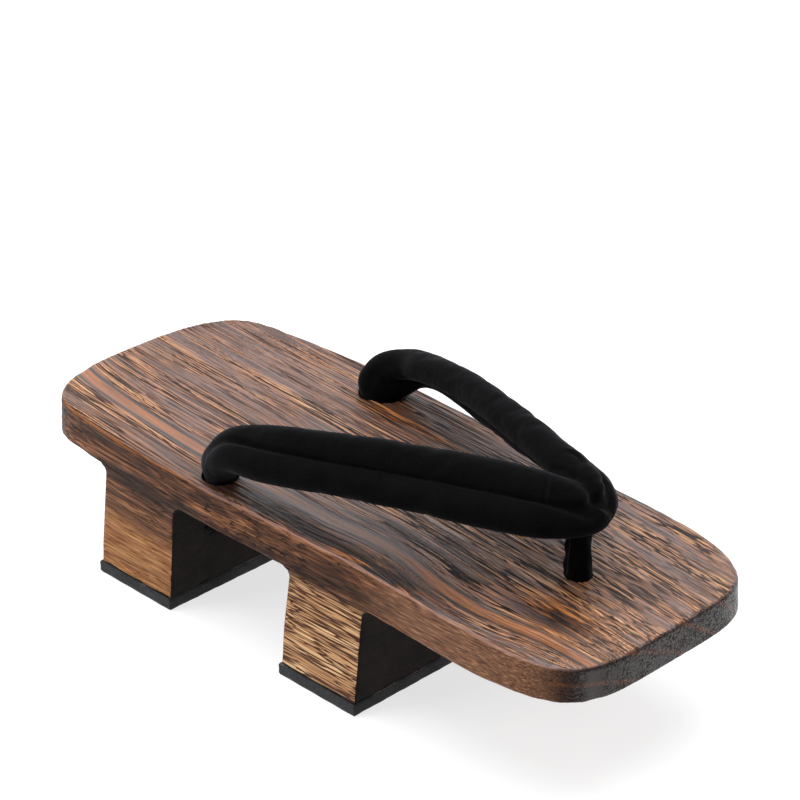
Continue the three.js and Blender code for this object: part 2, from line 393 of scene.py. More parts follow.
@dataclass(frozen=True)
class WoodFigure:
    """The grain of the block, as one solid pattern that both its relief and its colour follow.

    Lengths are in millimetres. The grain runs along the block, turns a little to the right, and swings
    with a smooth ribbon that lies near the right edge. The bends are rows of place along the block and
    swing to the left.
    """

    turn_degrees: float = 3.2
    wave_reach: float = 2.6
    band_centre: float = -34.5
    band_half_width: float = 3.3
    band_clearing: float = 0.25
    half_length: float = 135.0
    bend_reach: float = 15.0
    bends: tuple[tuple[float, float], ...] = (
        (-135.0, 1.5), (-112.0, -2.2), (-65.0, -4.5), (-43.0, -4.5), (-11.0, -2.5), (13.0, -1.6),
        (43.0, 1.6), (79.0, -1.4), (95.0, 0.4), (113.0, 5.0), (135.0, 8.5))
    straight_layers: tuple[GrainLayer, ...] = (
        GrainLayer("wave", (75.0, 26.0, 26.0), 2.0), GrainLayer("speck", (7.0, 0.5, 0.5), 1.0))
    bent_layers: tuple[GrainLayer, ...] = (
        GrainLayer("fibre", (34.0, 1.0, 1.0), 2.0, 0.55), GrainLayer("fine", (11.0, 0.45, 0.45), 1.0),
        GrainLayer("band", (80.0, 5.0, 5.0), 2.0, 0.6),
        GrainLayer("wander", (56.0, 0.92, 0.92), 0.8, 0.45))

    def add_to(self, tree: bpy.types.NodeTree, position: Any) -> dict[str, Any]:
        """Adds the pattern's nodes to a shader tree or a geometry tree.

        Args:
            tree: the tree.
            position: the socket or node that gives the place on the block, in metres.

        Returns:
            The pattern's parts by name: each layer, line (nothing in a furrow), ribbon (how near the
            smooth ribbon's middle) and bent (the place that the grain follows).
        """
        turned = add_node(tree, "ShaderNodeVectorRotate",
                          {"Vector": position, "Angle": math.radians(self.turn_degrees)},
                          rotation_type="Z_AXIS")
        parts = self.add_layers(tree, turned, self.straight_layers)
        centred = add_node(tree, "ShaderNodeVectorMath",
                           {0: parts["wave"].outputs["Color"], 1: (0.5, 0.5, 0.5)}, operation="SUBTRACT")
        shift = add_node(tree, "ShaderNodeVectorMath",
                         {0: centred, 1: (0.0, self.wave_reach * MM, self.wave_reach * MM)},
                         operation="MULTIPLY")
        waved = add_node(tree, "ShaderNodeVectorMath", {0: turned, 1: shift}, operation="ADD")
        parts["bent"] = add_node(tree, "ShaderNodeVectorMath", {0: waved, 1: self.bending(tree, turned)},
                                 operation="SUBTRACT")
        parts.update(self.add_layers(tree, parts["bent"], self.bent_layers))
        parts["ribbon"] = self.nearness(tree, parts["bent"], self.band_half_width)
        level = add_node(tree, "ShaderNodeMath", {0: parts["wander"], 1: 0.5}, operation="SUBTRACT")
        line = add_node(tree, "ShaderNodeMath", {0: level}, operation="ABSOLUTE")
        parts["line"] = add_node(tree, "ShaderNodeMath",
                                 {0: parts["ribbon"], 1: self.band_clearing, 2: line},
                                 operation="MULTIPLY_ADD")
        return parts

    def add_layers(self, tree: bpy.types.NodeTree, place: bpy.types.Node,
                   layers: Sequence[GrainLayer]) -> dict[str, Any]:
        """Adds some of the grain's noises, each stretched along the grain.

        Args:
            tree: the tree.
            place: where they are read, in metres.
            layers: the noises.

        Returns:
            Each noise's node by name.
        """
        made: dict[str, Any] = {}
        for layer in layers:
            stretched = add_node(tree, "ShaderNodeVectorMath",
                                 {0: place, 1: tuple(1 / (size * MM) for size in layer.lengths)},
                                 operation="MULTIPLY")
            made[layer.name] = add_node(tree, "ShaderNodeTexNoise", {
                "Vector": stretched, "Scale": 1.0, "Detail": layer.detail, "Roughness": layer.roughness})
        return made

    def nearness(self, tree: bpy.types.NodeTree, place: bpy.types.Node, reach: float) -> bpy.types.Node:
        """How near a place lies to the ribbon's middle line.

        Args:
            tree: the tree.
            place: the place, in metres.
            reach: how far the nearness is felt.

        Returns:
            The node that gives 1 on the line, falling off to nothing.
        """
        split = add_node(tree, "ShaderNodeSeparateXYZ", {0: place})
        off = add_node(tree, "ShaderNodeMath", {0: split.outputs["Y"], 1: -self.band_centre * MM},
                       operation="ADD")
        scaled = add_node(tree, "ShaderNodeMath", {0: off, 1: 1 / (reach * MM)}, operation="MULTIPLY")
        squared = add_node(tree, "ShaderNodeMath", {0: scaled, 1: scaled}, operation="MULTIPLY")
        return add_node(tree, "ShaderNodeMath", {0: 1 / math.e, 1: squared}, operation="POWER")

    def bending(self, tree: bpy.types.NodeTree, turned: bpy.types.Node) -> bpy.types.Node:
        """How far the grain swings to the left near the ribbon, from the listed bends.

        Args:
            tree: the tree.
            turned: the place, turned to the grain's direction.

        Returns:
            The node that gives the shift as a vector, in metres.
        """
        reach = max(abs(swing) for _, swing in self.bends)
        spot = add_node(tree, "ShaderNodeSeparateXYZ", {0: turned})
        share = add_node(tree, "ShaderNodeMapRange",
                         {"Value": spot.outputs["X"], "From Min": -self.half_length * MM,
                          "From Max": self.half_length * MM})
        curve = add_node(tree, "ShaderNodeFloatCurve", {"Value": share}, tuple(
            (x / (2 * self.half_length) + 0.5, swing / (2 * reach) + 0.5) for x, swing in self.bends))
        swing_here = add_node(tree, "ShaderNodeMapRange",
                              {"Value": curve, "To Min": -reach * MM, "To Max": reach * MM})
        near = self.nearness(tree, turned, self.bend_reach)
        swung = add_node(tree, "ShaderNodeMath", {0: swing_here, 1: near}, operation="MULTIPLY")
        return add_node(tree, "ShaderNodeCombineXYZ", {"Y": swung})


@dataclass(frozen=True)
class DarkPatch:
    """A patch of painted strap shade and reflection: the wood drawn darker and in higher contrast where
    the black strap stands over the top and mirrors in its gloss. Its middle, its reach along each axis and
    its strength.
    """

    name: str
    middle: tuple[float, float, float]
    reach: tuple[float, float, float]
    strength: float

    def add_to(self, tree: bpy.types.NodeTree, place: Any) -> bpy.types.Node:
        """Adds the nodes that give how strongly the patch is felt.

        Args:
            tree: the shader tree.
            place: the socket that gives the place, in metres.

        Returns:
            The node that gives the share.
        """
        away = add_node(tree, "ShaderNodeVectorMath", {0: place, 1: tuple(m * MM for m in self.middle)},
                        operation="SUBTRACT")
        scaled = add_node(tree, "ShaderNodeVectorMath",
                          {0: away, 1: tuple(1 / (r * MM) for r in self.reach)}, operation="MULTIPLY")
        squared = add_node(tree, "ShaderNodeVectorMath", {0: scaled, 1: scaled}, operation="DOT_PRODUCT")
        bell = add_node(tree, "ShaderNodeMath", {0: 1 / math.e, 1: squared}, operation="POWER")
        return add_node(tree, "ShaderNodeMath", {0: bell, 1: self.strength}, operation="MULTIPLY")


Stops = tuple[tuple[float, str], ...]


@dataclass(frozen=True)
class LacqueredWood:
    """Stained and lacquered paulownia.

    Open brown and orange grain under a thin clear coat: dark pores and furrows, tan ridges, and a pale
    haze of gloss where the light grazes it. End grain drinks the stain and is nearly black. Light and
    shade are also painted into the top's colour: painted shade where the strap stands over the top,
    painted haze toward the heel and the toe, three patches of painted strap shade and reflection, and a
    painted highlight with wear along the rounded top edge. The finish is kept as four tables: shares are
    soft steps of a part from 0 to 1, products multiply two parts, ramps colour a part, and layers lay one
    colour over another by a share.
    """

    name: str = "lacquered paulownia"
    figure: WoodFigure = field(default_factory=WoodFigure)
    roughness: float = 0.42
    coat: float = 0.85
    coat_roughness: float = 0.28
    side_coat: float = 0.12
    # How strongly the rounded top edge is drawn paler: wear with a painted highlight on it.
    edge_highlight_and_wear: float = 0.4
    pore_dullness: float = 0.9
    end_stain: float = 0.95
    ior: float = 1.5
    ring_spacing: float = 10.0
    pith: tuple[float, float] = (-45.0, -50.0)
    # Three patches of painted strap shade and reflection, under and in front of the strap.
    patches: tuple[DarkPatch, ...] = (
        DarkPatch("toe patch", (107.0, -24.0, 58.0), (17.0, 8.0, 12.0), 0.85),
        DarkPatch("waist patch", (-22.0, 31.0, 61.0), (24.0, 5.0, 8.0), 0.7),
        DarkPatch("edge patch", (22.0, -47.0, 60.0), (72.0, 5.2, 6.0), 0.9),
    )
    shares: tuple[tuple[str, str, float, float], ...] = (
        ("side", "aside Y", 0.45, 0.8), ("end", "aside X", 0.2, 0.8), ("pore", "line", 0.12, 0.05),
        ("flank", "ribbon", 0.06, 0.4), ("core", "ribbon", 0.45, 0.8), ("rounded", "face Z", 0.3, 0.55),
        ("turning", "face Z", 0.9, 0.75), ("hairline", "line", 0.05, 0.012),
        ("toe half", "spot X", 0.034, 0.074), ("rear foot", "spot Z", 0.038, 0.024),
        ("rear", "spot X", -0.03, -0.05), ("stripe", "line", 0.13, 0.05),
        ("front foot", "spot Z", 0.047, 0.041), ("ahead", "spot X", -0.012, -0.002),
        ("before", "spot X", 0.052, 0.046))
    products: tuple[tuple[str, str, str], ...] = (
        ("furrow", "pore", "open grain"), ("rear tooth", "rear foot", "rear"),
        ("front span", "ahead", "before"), ("front tooth", "front span", "front foot"),
        # worn: the rounded top edge, drawn paler as wear with a painted highlight.
        ("edge", "rounded", "turning"), ("worn", "edge", "edge highlight and wear"),
        ("stained end", "end", "end stain"), ("matt", "furrow", "pore dullness"))
    ramps: tuple[tuple[str, str, Stops], ...] = (
        ("plain", "tone", ((0.38, "584139"), (0.45, "735548"), (0.5, "8c5c3e"), (0.54, "a86e40"),
                           (0.6, "c48a50"), (0.68, "dcb080"))),
        # The pores are black in the middle of the block and paler brown toward the heel and the toe; that
        # paler brown is painted gloss haze.
        ("pores", "along", ((0.0, "3e281b"), (0.35, "2a180f"), (0.5, "060302"), (0.8, "080403"),
                            (1.0, "44342c"))),
        ("flanks", "tone", ((0.4, "0e0704"), (0.62, "3e2110"))),
        ("smooth", "fibre", ((0.3, "6e3e1a"), (0.7, "a6642c"))),
        # Painted shade and haze along the top: darker in the middle, where the strap stands over it, paler
        # toward the heel, and paler and bluer toward the toe as painted reflection haze.
        ("strap shade and haze", "along", ((0.0, "e4e2e2"), (0.3, "d4d0d2"), (0.45, "c4bebe"), (0.7, "9e9896"),
                             (0.85, "e0e2ea"), (1.0, "f6faff"))),
        # Painted strap shade and reflection: the grain drawn black and orange in high contrast in the
        # patches.
        ("strap shade and reflection", "tone", ((0.5, "030101"), (0.545, "2a1207"), (0.6, "a86028"))),
        ("dusk", "tone", ((0.4, "261308"), (0.5, "4d2f1e"), (0.58, "7a4d30"), (0.66, "a0744e"))),
        ("dusk lines", "tone", ((0.4, "160d0a"), (0.6, "24160f"))),
        ("brown", "speck", ((0.32, "513425"), (0.46, "6a4936"), (0.6, "78543d"), (0.72, "966f50"))),
        ("gold", "tone", ((0.4, "643c20"), (0.5, "90603a"), (0.6, "b08250"))),
        ("gold lines", "tone", ((0.4, "553216"), (0.6, "7a4c26"))),
        ("cream", "tone", ((0.4, "8e6040"), (0.5, "b88c60"), (0.6, "d8b488"))),
        ("cream lines", "tone", ((0.4, "382016"), (0.6, "583826"))),
        # Painted highlight with wear on the rounded top edge: orange at the heel, pale lavender from the
        # middle to the toe.
        ("highlit edge colour", "along", ((0.0, "a0602c"), (0.3, "a0602c"), (0.45, "a98276"), (1.0, "a98276"))),
        ("soaked", "tone", ((0.4, "070504"), (0.62, "1c1310"))),
        ("ring", "tone", ((0.4, "2c150b"), (0.62, "6a3a1e"))))
    layers: tuple[tuple[str, str, str, str, str], ...] = (
        # The pores' paler brown toward the heel and the toe is painted gloss haze.
        ("top", "plain", "pores", "furrow", "MIX"), ("top", "top", "flanks", "flank", "MIX"),
        # The top is multiplied by the painted shade and haze along its length.
        ("top", "top", "smooth", "core", "MIX"), ("top", "top", "strap shade and haze", "all", "MULTIPLY"),
        # The patches lay painted strap shade and reflection over the top.
        ("top", "top", "strap shade and reflection", "toe patch", "MIX"), ("top", "top", "strap shade and reflection", "waist patch", "MIX"),
        ("top", "top", "strap shade and reflection", "edge patch", "MIX"),
        ("flats", "dusk", "dusk lines", "hairline", "MIX"),
        ("flats", "flats", "brown", "toe half", "MIX"),
        ("golden", "gold", "gold lines", "hairline", "MIX"),
        ("flats", "flats", "golden", "rear tooth", "MIX"),
        ("striped", "cream", "cream lines", "stripe", "MIX"),
        ("flats", "flats", "striped", "front tooth", "MIX"), ("ends", "soaked", "ring", "arc", "MIX"),
        # The rounded top edge takes its painted highlight with wear.
        ("wood", "top", "flats", "side", "MIX"), ("wood", "wood", "highlit edge colour", "worn", "MIX"),
        ("wood", "wood", "ends", "stained end", "MIX"))

    def build(self) -> bpy.types.Material:
        """Makes the material.

        Returns:
            The material.
        """
        made, tree, place = blank_material(self.name)
        parts = self.figure.add_to(tree, place.outputs["Object"])
        # The edge's strength here sets the painted highlight with wear on the rounded top edge.
        parts.update({"all": 1.0, "edge highlight and wear": self.edge_highlight_and_wear, "end stain": self.end_stain,
                      "pore dullness": self.pore_dullness})
        self.add_places(tree, place, parts)
        for name, source, low, high in self.shares:
            parts[name] = add_node(tree, "ShaderNodeMapRange",
                                   {"Value": parts[source], "From Min": low, "From Max": high},
                                   interpolation_type="SMOOTHSTEP")
        for name, first, second in self.products:
            parts[name] = add_node(tree, "ShaderNodeMath", {0: parts[first], 1: parts[second]},
                                   operation="MULTIPLY")
        # The coat thins in the patches of painted strap shade and reflection as well.
        for patch in self.patches:
            parts[patch.name] = patch.add_to(tree, place.outputs["Object"])
            parts["matt"] = add_node(tree, "ShaderNodeMath", {0: parts["matt"], 1: parts[patch.name]},
                                     operation="MAXIMUM")
        for name, source, stops in self.ramps:
            parts[name] = add_node(tree, "ShaderNodeValToRGB", {"Fac": parts[source]}, stops)
        for name, under, over, share, blend in self.layers:
            parts[name] = add_node(tree, "ShaderNodeMix",
                                   {"Factor": parts[share], "A": parts[under], "B": parts[over]},
                                   data_type="RGBA", blend_type=blend)
        self.add_coat(tree, parts)
        return made

    def add_places(self, tree: bpy.types.NodeTree, place: bpy.types.Node, parts: dict[str, Any]) -> None:
        """Adds where a point lies, which way it faces, its light and dark, and its growth ring.

        Args:
            tree: the shader tree.
            place: the coordinates' node.
            parts: the wood's parts by name, which these join.
        """
        for name, source in (("spot", "Object"), ("face", "Normal")):
            split = add_node(tree, "ShaderNodeSeparateXYZ", {0: place.outputs[source]})
            parts.update({f"{name} {axis}": split.outputs[axis] for axis in "XYZ"})
        for axis in "XY":
            parts[f"aside {axis}"] = add_node(tree, "ShaderNodeMath", {0: parts[f"face {axis}"]},
                                              operation="ABSOLUTE")
        coarse = add_node(tree, "ShaderNodeMath", {0: parts["band"], 1: 0.42}, operation="MULTIPLY")
        middle = add_node(tree, "ShaderNodeMath", {0: parts["fibre"], 1: 0.38, 2: coarse},
                          operation="MULTIPLY_ADD")
        parts["tone"] = add_node(tree, "ShaderNodeMath", {0: parts["fine"], 1: 0.2, 2: middle},
                                 operation="MULTIPLY_ADD")
        end = self.figure.half_length * MM
        parts["along"] = add_node(tree, "ShaderNodeMapRange",
                                  {"Value": parts["spot X"], "From Min": -end, "From Max": end})
        parts["open grain"] = add_node(tree, "ShaderNodeMapRange",
                                       {"Value": parts["band"], "From Min": 0.4, "From Max": 0.52,
                                        "To Min": 0.45, "To Max": 1.0})
        centred = add_node(tree, "ShaderNodeVectorMath",
                           {0: parts["bent"], 1: (0.0, -self.pith[0] * MM, -self.pith[1] * MM)},
                           operation="ADD")
        flat = add_node(tree, "ShaderNodeVectorMath", {0: centred, 1: (0.0, 1.0, 1.0)},
                        operation="MULTIPLY")
        radius = add_node(tree, "ShaderNodeVectorMath", {0: flat}, operation="LENGTH")
        turns = add_node(tree, "ShaderNodeMath", {0: radius, 1: 2 * math.pi / (self.ring_spacing * MM)},
                         operation="MULTIPLY")
        wave = add_node(tree, "ShaderNodeMath", {0: turns}, operation="COSINE")
        parts["arc"] = add_node(tree, "ShaderNodeMapRange",
                                {"Value": wave, "From Min": 0.8, "To Max": 0.7})

    def add_coat(self, tree: bpy.types.NodeTree, parts: dict[str, Any]) -> None:
        """Adds the surface under its clear coat, which thins over pores, over the patches of painted strap
        shade and reflection, and on the sides.

        Args:
            tree: the shader tree.
            parts: the wood's parts by name.
        """
        fibrous = add_node(tree, "ShaderNodeMath", {0: parts["fine"], 1: 0.5, 2: parts["fibre"]},
                           operation="MULTIPLY_ADD")
        height = add_node(tree, "ShaderNodeMath", {0: parts["furrow"], 1: -0.7, 2: fibrous},
                          operation="MULTIPLY_ADD")
        bump = add_node(tree, "ShaderNodeBump",
                        {"Strength": 0.55, "Distance": 0.4 * MM, "Height": height})
        sheltered = add_node(tree, "ShaderNodeMapRange",
                             {"Value": parts["side"], "To Min": 1.0, "To Max": self.side_coat})
        open_coat = add_node(tree, "ShaderNodeMapRange",
                             {"Value": parts["matt"], "To Min": self.coat, "To Max": self.coat * 0.1})
        polish = add_node(tree, "ShaderNodeMath", {0: open_coat, 1: sheltered}, operation="MULTIPLY")
        rough = add_node(tree, "ShaderNodeMapRange",
                         {"Value": parts["fine"], "From Min": 0.3, "From Max": 0.7,
                          "To Min": self.roughness + 0.12, "To Max": self.roughness - 0.08})
        shader = add_node(tree, "ShaderNodeBsdfPrincipled", {
            "Base Color": parts["wood"], "Roughness": rough, "IOR": self.ior, "Normal": bump,
            "Specular IOR Level": 0.06, "Coat Weight": polish, "Coat Roughness": self.coat_roughness,
            "Coat IOR": self.ior, "Coat Normal": bump})
        add_node(tree, "ShaderNodeOutputMaterial", {"Surface": shader})


@dataclass(frozen=True)
class EndGrain:
    """End grain on the faces of the teeth, left dull, with pores: nearly black from the stain and from
    painted shade of the platform above them.
    """

    name: str = "end grain, stained and shaded"
    pore: float = 0.7
    cloud: float = 9.0
    # Near-black: the stain, with the platform's shade painted into it.
    stops: Stops = ((0.4, "060505"), (0.62, "110d0b"), (0.85, "1d1512"))

    def build(self) -> bpy.types.Material:
        """Makes the material.

        Returns:
            The material.
        """
        made, tree, place = blank_material(self.name)
        here = place.outputs["Object"]
        pores = add_node(tree, "ShaderNodeTexVoronoi", {"Vector": here, "Scale": 1 / (self.pore * MM)})
        cloud = add_node(tree, "ShaderNodeTexNoise",
                         {"Vector": here, "Scale": 1 / (self.cloud * MM), "Detail": 4.0})
        tone = add_node(tree, "ShaderNodeMath", {0: pores, 1: 0.4, 2: cloud}, operation="MULTIPLY_ADD")
        colour = add_node(tree, "ShaderNodeValToRGB", {"Fac": tone}, self.stops)
        bump = add_node(tree, "ShaderNodeBump", {"Strength": 0.5, "Distance": 0.3 * MM, "Height": pores})
        shader = add_node(tree, "ShaderNodeBsdfPrincipled", {
            "Base Color": colour, "Roughness": 0.75, "IOR": 1.5, "Normal": bump,
            "Specular IOR Level": 0.12})
        add_node(tree, "ShaderNodeOutputMaterial", {"Surface": shader})
        return made


@dataclass(frozen=True)
class Velvet:
    """Black cotton velvet: a dense short pile that drinks light, with a cool sheen along each ridge."""

    name: str = "black velvet"
    pile: float = 0.7
    brushing: float = 9.0
    stops: Stops = ((0.15, "020202"), (0.4, "060607"))
    sheen: float = 0.16
    sheen_tint: str = "9a9ca4"

    def build(self) -> bpy.types.Material:
        """Makes the material.

        Returns:
            The material.
        """
        made, tree, place = blank_material(self.name)
        here = place.outputs["Object"]
        nap = add_node(tree, "ShaderNodeTexNoise",
                       {"Vector": here, "Scale": 1 / (self.pile * MM), "Detail": 3.0})
        brushed = add_node(tree, "ShaderNodeTexNoise",
                           {"Vector": here, "Scale": 1 / (self.brushing * MM), "Detail": 2.0})
        both = add_node(tree, "ShaderNodeMath", {0: nap, 1: brushed}, operation="MULTIPLY")
        colour = add_node(tree, "ShaderNodeValToRGB", {"Fac": both}, self.stops)
        bump = add_node(tree, "ShaderNodeBump", {"Strength": 0.5, "Distance": 0.25 * MM, "Height": nap})
        shader = add_node(tree, "ShaderNodeBsdfPrincipled", {
            "Base Color": colour, "Roughness": 0.95, "Normal": bump, "Specular IOR Level": 0.06,
            "Sheen Weight": self.sheen, "Sheen Roughness": 0.38, "Sheen Tint": linear(self.sheen_tint)})
        add_node(tree, "ShaderNodeOutputMaterial", {"Surface": shader})
        return made


@dataclass(frozen=True)
class GroundRubber:
    """Moulded dark grey rubber: matt, with a fine grit and a broken pale line of glue along its joint."""

    name: str = "moulded rubber"
    grit: float = 0.8
    scuff: float = 12.0
    joint_height: float = 4.8
    glue_width: float = 0.5
    stops: Stops = ((0.14, "131416"), (0.38, "303134"))
    glue_stops: Stops = ((0.3, "5c5650"), (0.7, "9a938a"))

    def build(self) -> bpy.types.Material:
        """Makes the material.

        Returns:
            The material.
        """
        made, tree, place = blank_material(self.name)
        here = place.outputs["Object"]
        grit = add_node(tree, "ShaderNodeTexNoise",
                        {"Vector": here, "Scale": 1 / (self.grit * MM), "Detail": 4.0})
        scuff = add_node(tree, "ShaderNodeTexNoise",
                         {"Vector": here, "Scale": 1 / (self.scuff * MM), "Detail": 3.0})
        both = add_node(tree, "ShaderNodeMath", {0: grit, 1: scuff}, operation="MULTIPLY")
        colour = add_node(tree, "ShaderNodeValToRGB", {"Fac": both}, self.stops)
        height = add_node(tree, "ShaderNodeSeparateXYZ", {0: here})
        near_joint = add_node(tree, "ShaderNodeMapRange", {
            "Value": height.outputs["Z"], "From Min": (self.joint_height - self.glue_width) * MM,
            "From Max": self.joint_height * MM})
        broken = add_node(tree, "ShaderNodeMapRange",
                          {"Value": scuff, "From Min": 0.5, "From Max": 0.62, "To Max": 0.6})
        glue = add_node(tree, "ShaderNodeMath", {0: near_joint, 1: broken}, operation="MULTIPLY")
        pale = add_node(tree, "ShaderNodeValToRGB", {"Fac": grit}, self.glue_stops)
        glued = add_node(tree, "ShaderNodeMix", {"Factor": glue, "A": colour, "B": pale},
                         data_type="RGBA")
        bump = add_node(tree, "ShaderNodeBump", {"Strength": 0.4, "Distance": 0.2 * MM, "Height": grit})
        shader = add_node(tree, "ShaderNodeBsdfPrincipled", {
            "Base Color": glued, "Roughness": 0.78, "IOR": 1.52, "Normal": bump,
            "Specular IOR Level": 0.35})
        add_node(tree, "ShaderNodeOutputMaterial", {"Surface": shader})
        return made


@dataclass(frozen=True)
class TwistedCord:
    """Twisted black cotton cord: matt, with a faint mottle in its fibres."""

    name: str = "twisted cotton cord"
    fibre: float = 0.5
    stops: Stops = ((0.35, "030303"), (0.65, "0a0a0b"))

    def build(self) -> bpy.types.Material:
        """Makes the material.

        Returns:
            The material.
        """
        made, tree, place = blank_material(self.name)
        fibres = add_node(tree, "ShaderNodeTexNoise", {
            "Vector": place.outputs["Object"], "Scale": 1 / (self.fibre * MM), "Detail": 3.0})
        colour = add_node(tree, "ShaderNodeValToRGB", {"Fac": fibres}, self.stops)
        bump = add_node(tree, "ShaderNodeBump", {"Strength": 0.5, "Distance": 0.2 * MM, "Height": fibres})
        shader = add_node(tree, "ShaderNodeBsdfPrincipled", {
            "Base Color": colour, "Roughness": 0.9, "Normal": bump, "Specular IOR Level": 0.1})
        add_node(tree, "ShaderNodeOutputMaterial", {"Surface": shader})
        return made


@dataclass(frozen=True)
class LightTable:
    """Frosted white acrylic lit from below: even and pale, so that shadows on it stay faint."""

    name: str = "white light table"
    cloud: float = 40.0
    glow: float = 0.72
    stops: Stops = ((0.3, "a0a0a0"), (0.7, "a6a6a6"))

    def build(self) -> bpy.types.Material:
        """Makes the material.

        Returns:
            The material.
        """
        made, tree, place = blank_material(self.name)
        pulp = add_node(tree, "ShaderNodeTexNoise", {
            "Vector": place.outputs["Object"], "Scale": 1 / (self.cloud * MM), "Detail": 2.0})
        colour = add_node(tree, "ShaderNodeValToRGB", {"Fac": pulp}, self.stops)
        shader = add_node(tree, "ShaderNodeBsdfPrincipled", {
            "Base Color": colour, "Roughness": 1.0, "Specular IOR Level": 0.0,
            "Emission Color": linear("ffffff"), "Emission Strength": self.glow})
        add_node(tree, "ShaderNodeOutputMaterial", {"Surface": shader})
        return made


class Material(Enum):
    """Four material slot names, one for each finish."""

    WOOD = "wood"
    RUBBER = "pad_rubber"
    VELVET = "strap_velvet"
    CORD = "cord"


def dress(obj: bpy.types.Object, material: bpy.types.Material, which: Material, *nodes: str) -> None:
    """Gives a piece its finish, its body and the CAD nodes that it stands for.

    Args:
        obj: the piece.
        material: the finish.
        which: not used.
        *nodes: the CAD nodes.
    """
    obj.data.materials.clear()
    obj.data.materials.append(material)
    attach(obj, "root")
    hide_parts(*nodes)
    LOG.info("%s: %d faces, stands for %s", obj.name, len(obj.data.polygons), ", ".join(nodes))


# ---------------------------------------------------------------- the block


@dataclass(frozen=True)
class Tooth:
    """One tooth of the block: where its back and front faces meet the pad and the underside."""

    foot_back: float
    foot_front: float
    root_back: float
    root_front: float
    steps_along: int = 18
    steps_across: int = 44
    steps_up: int = 54


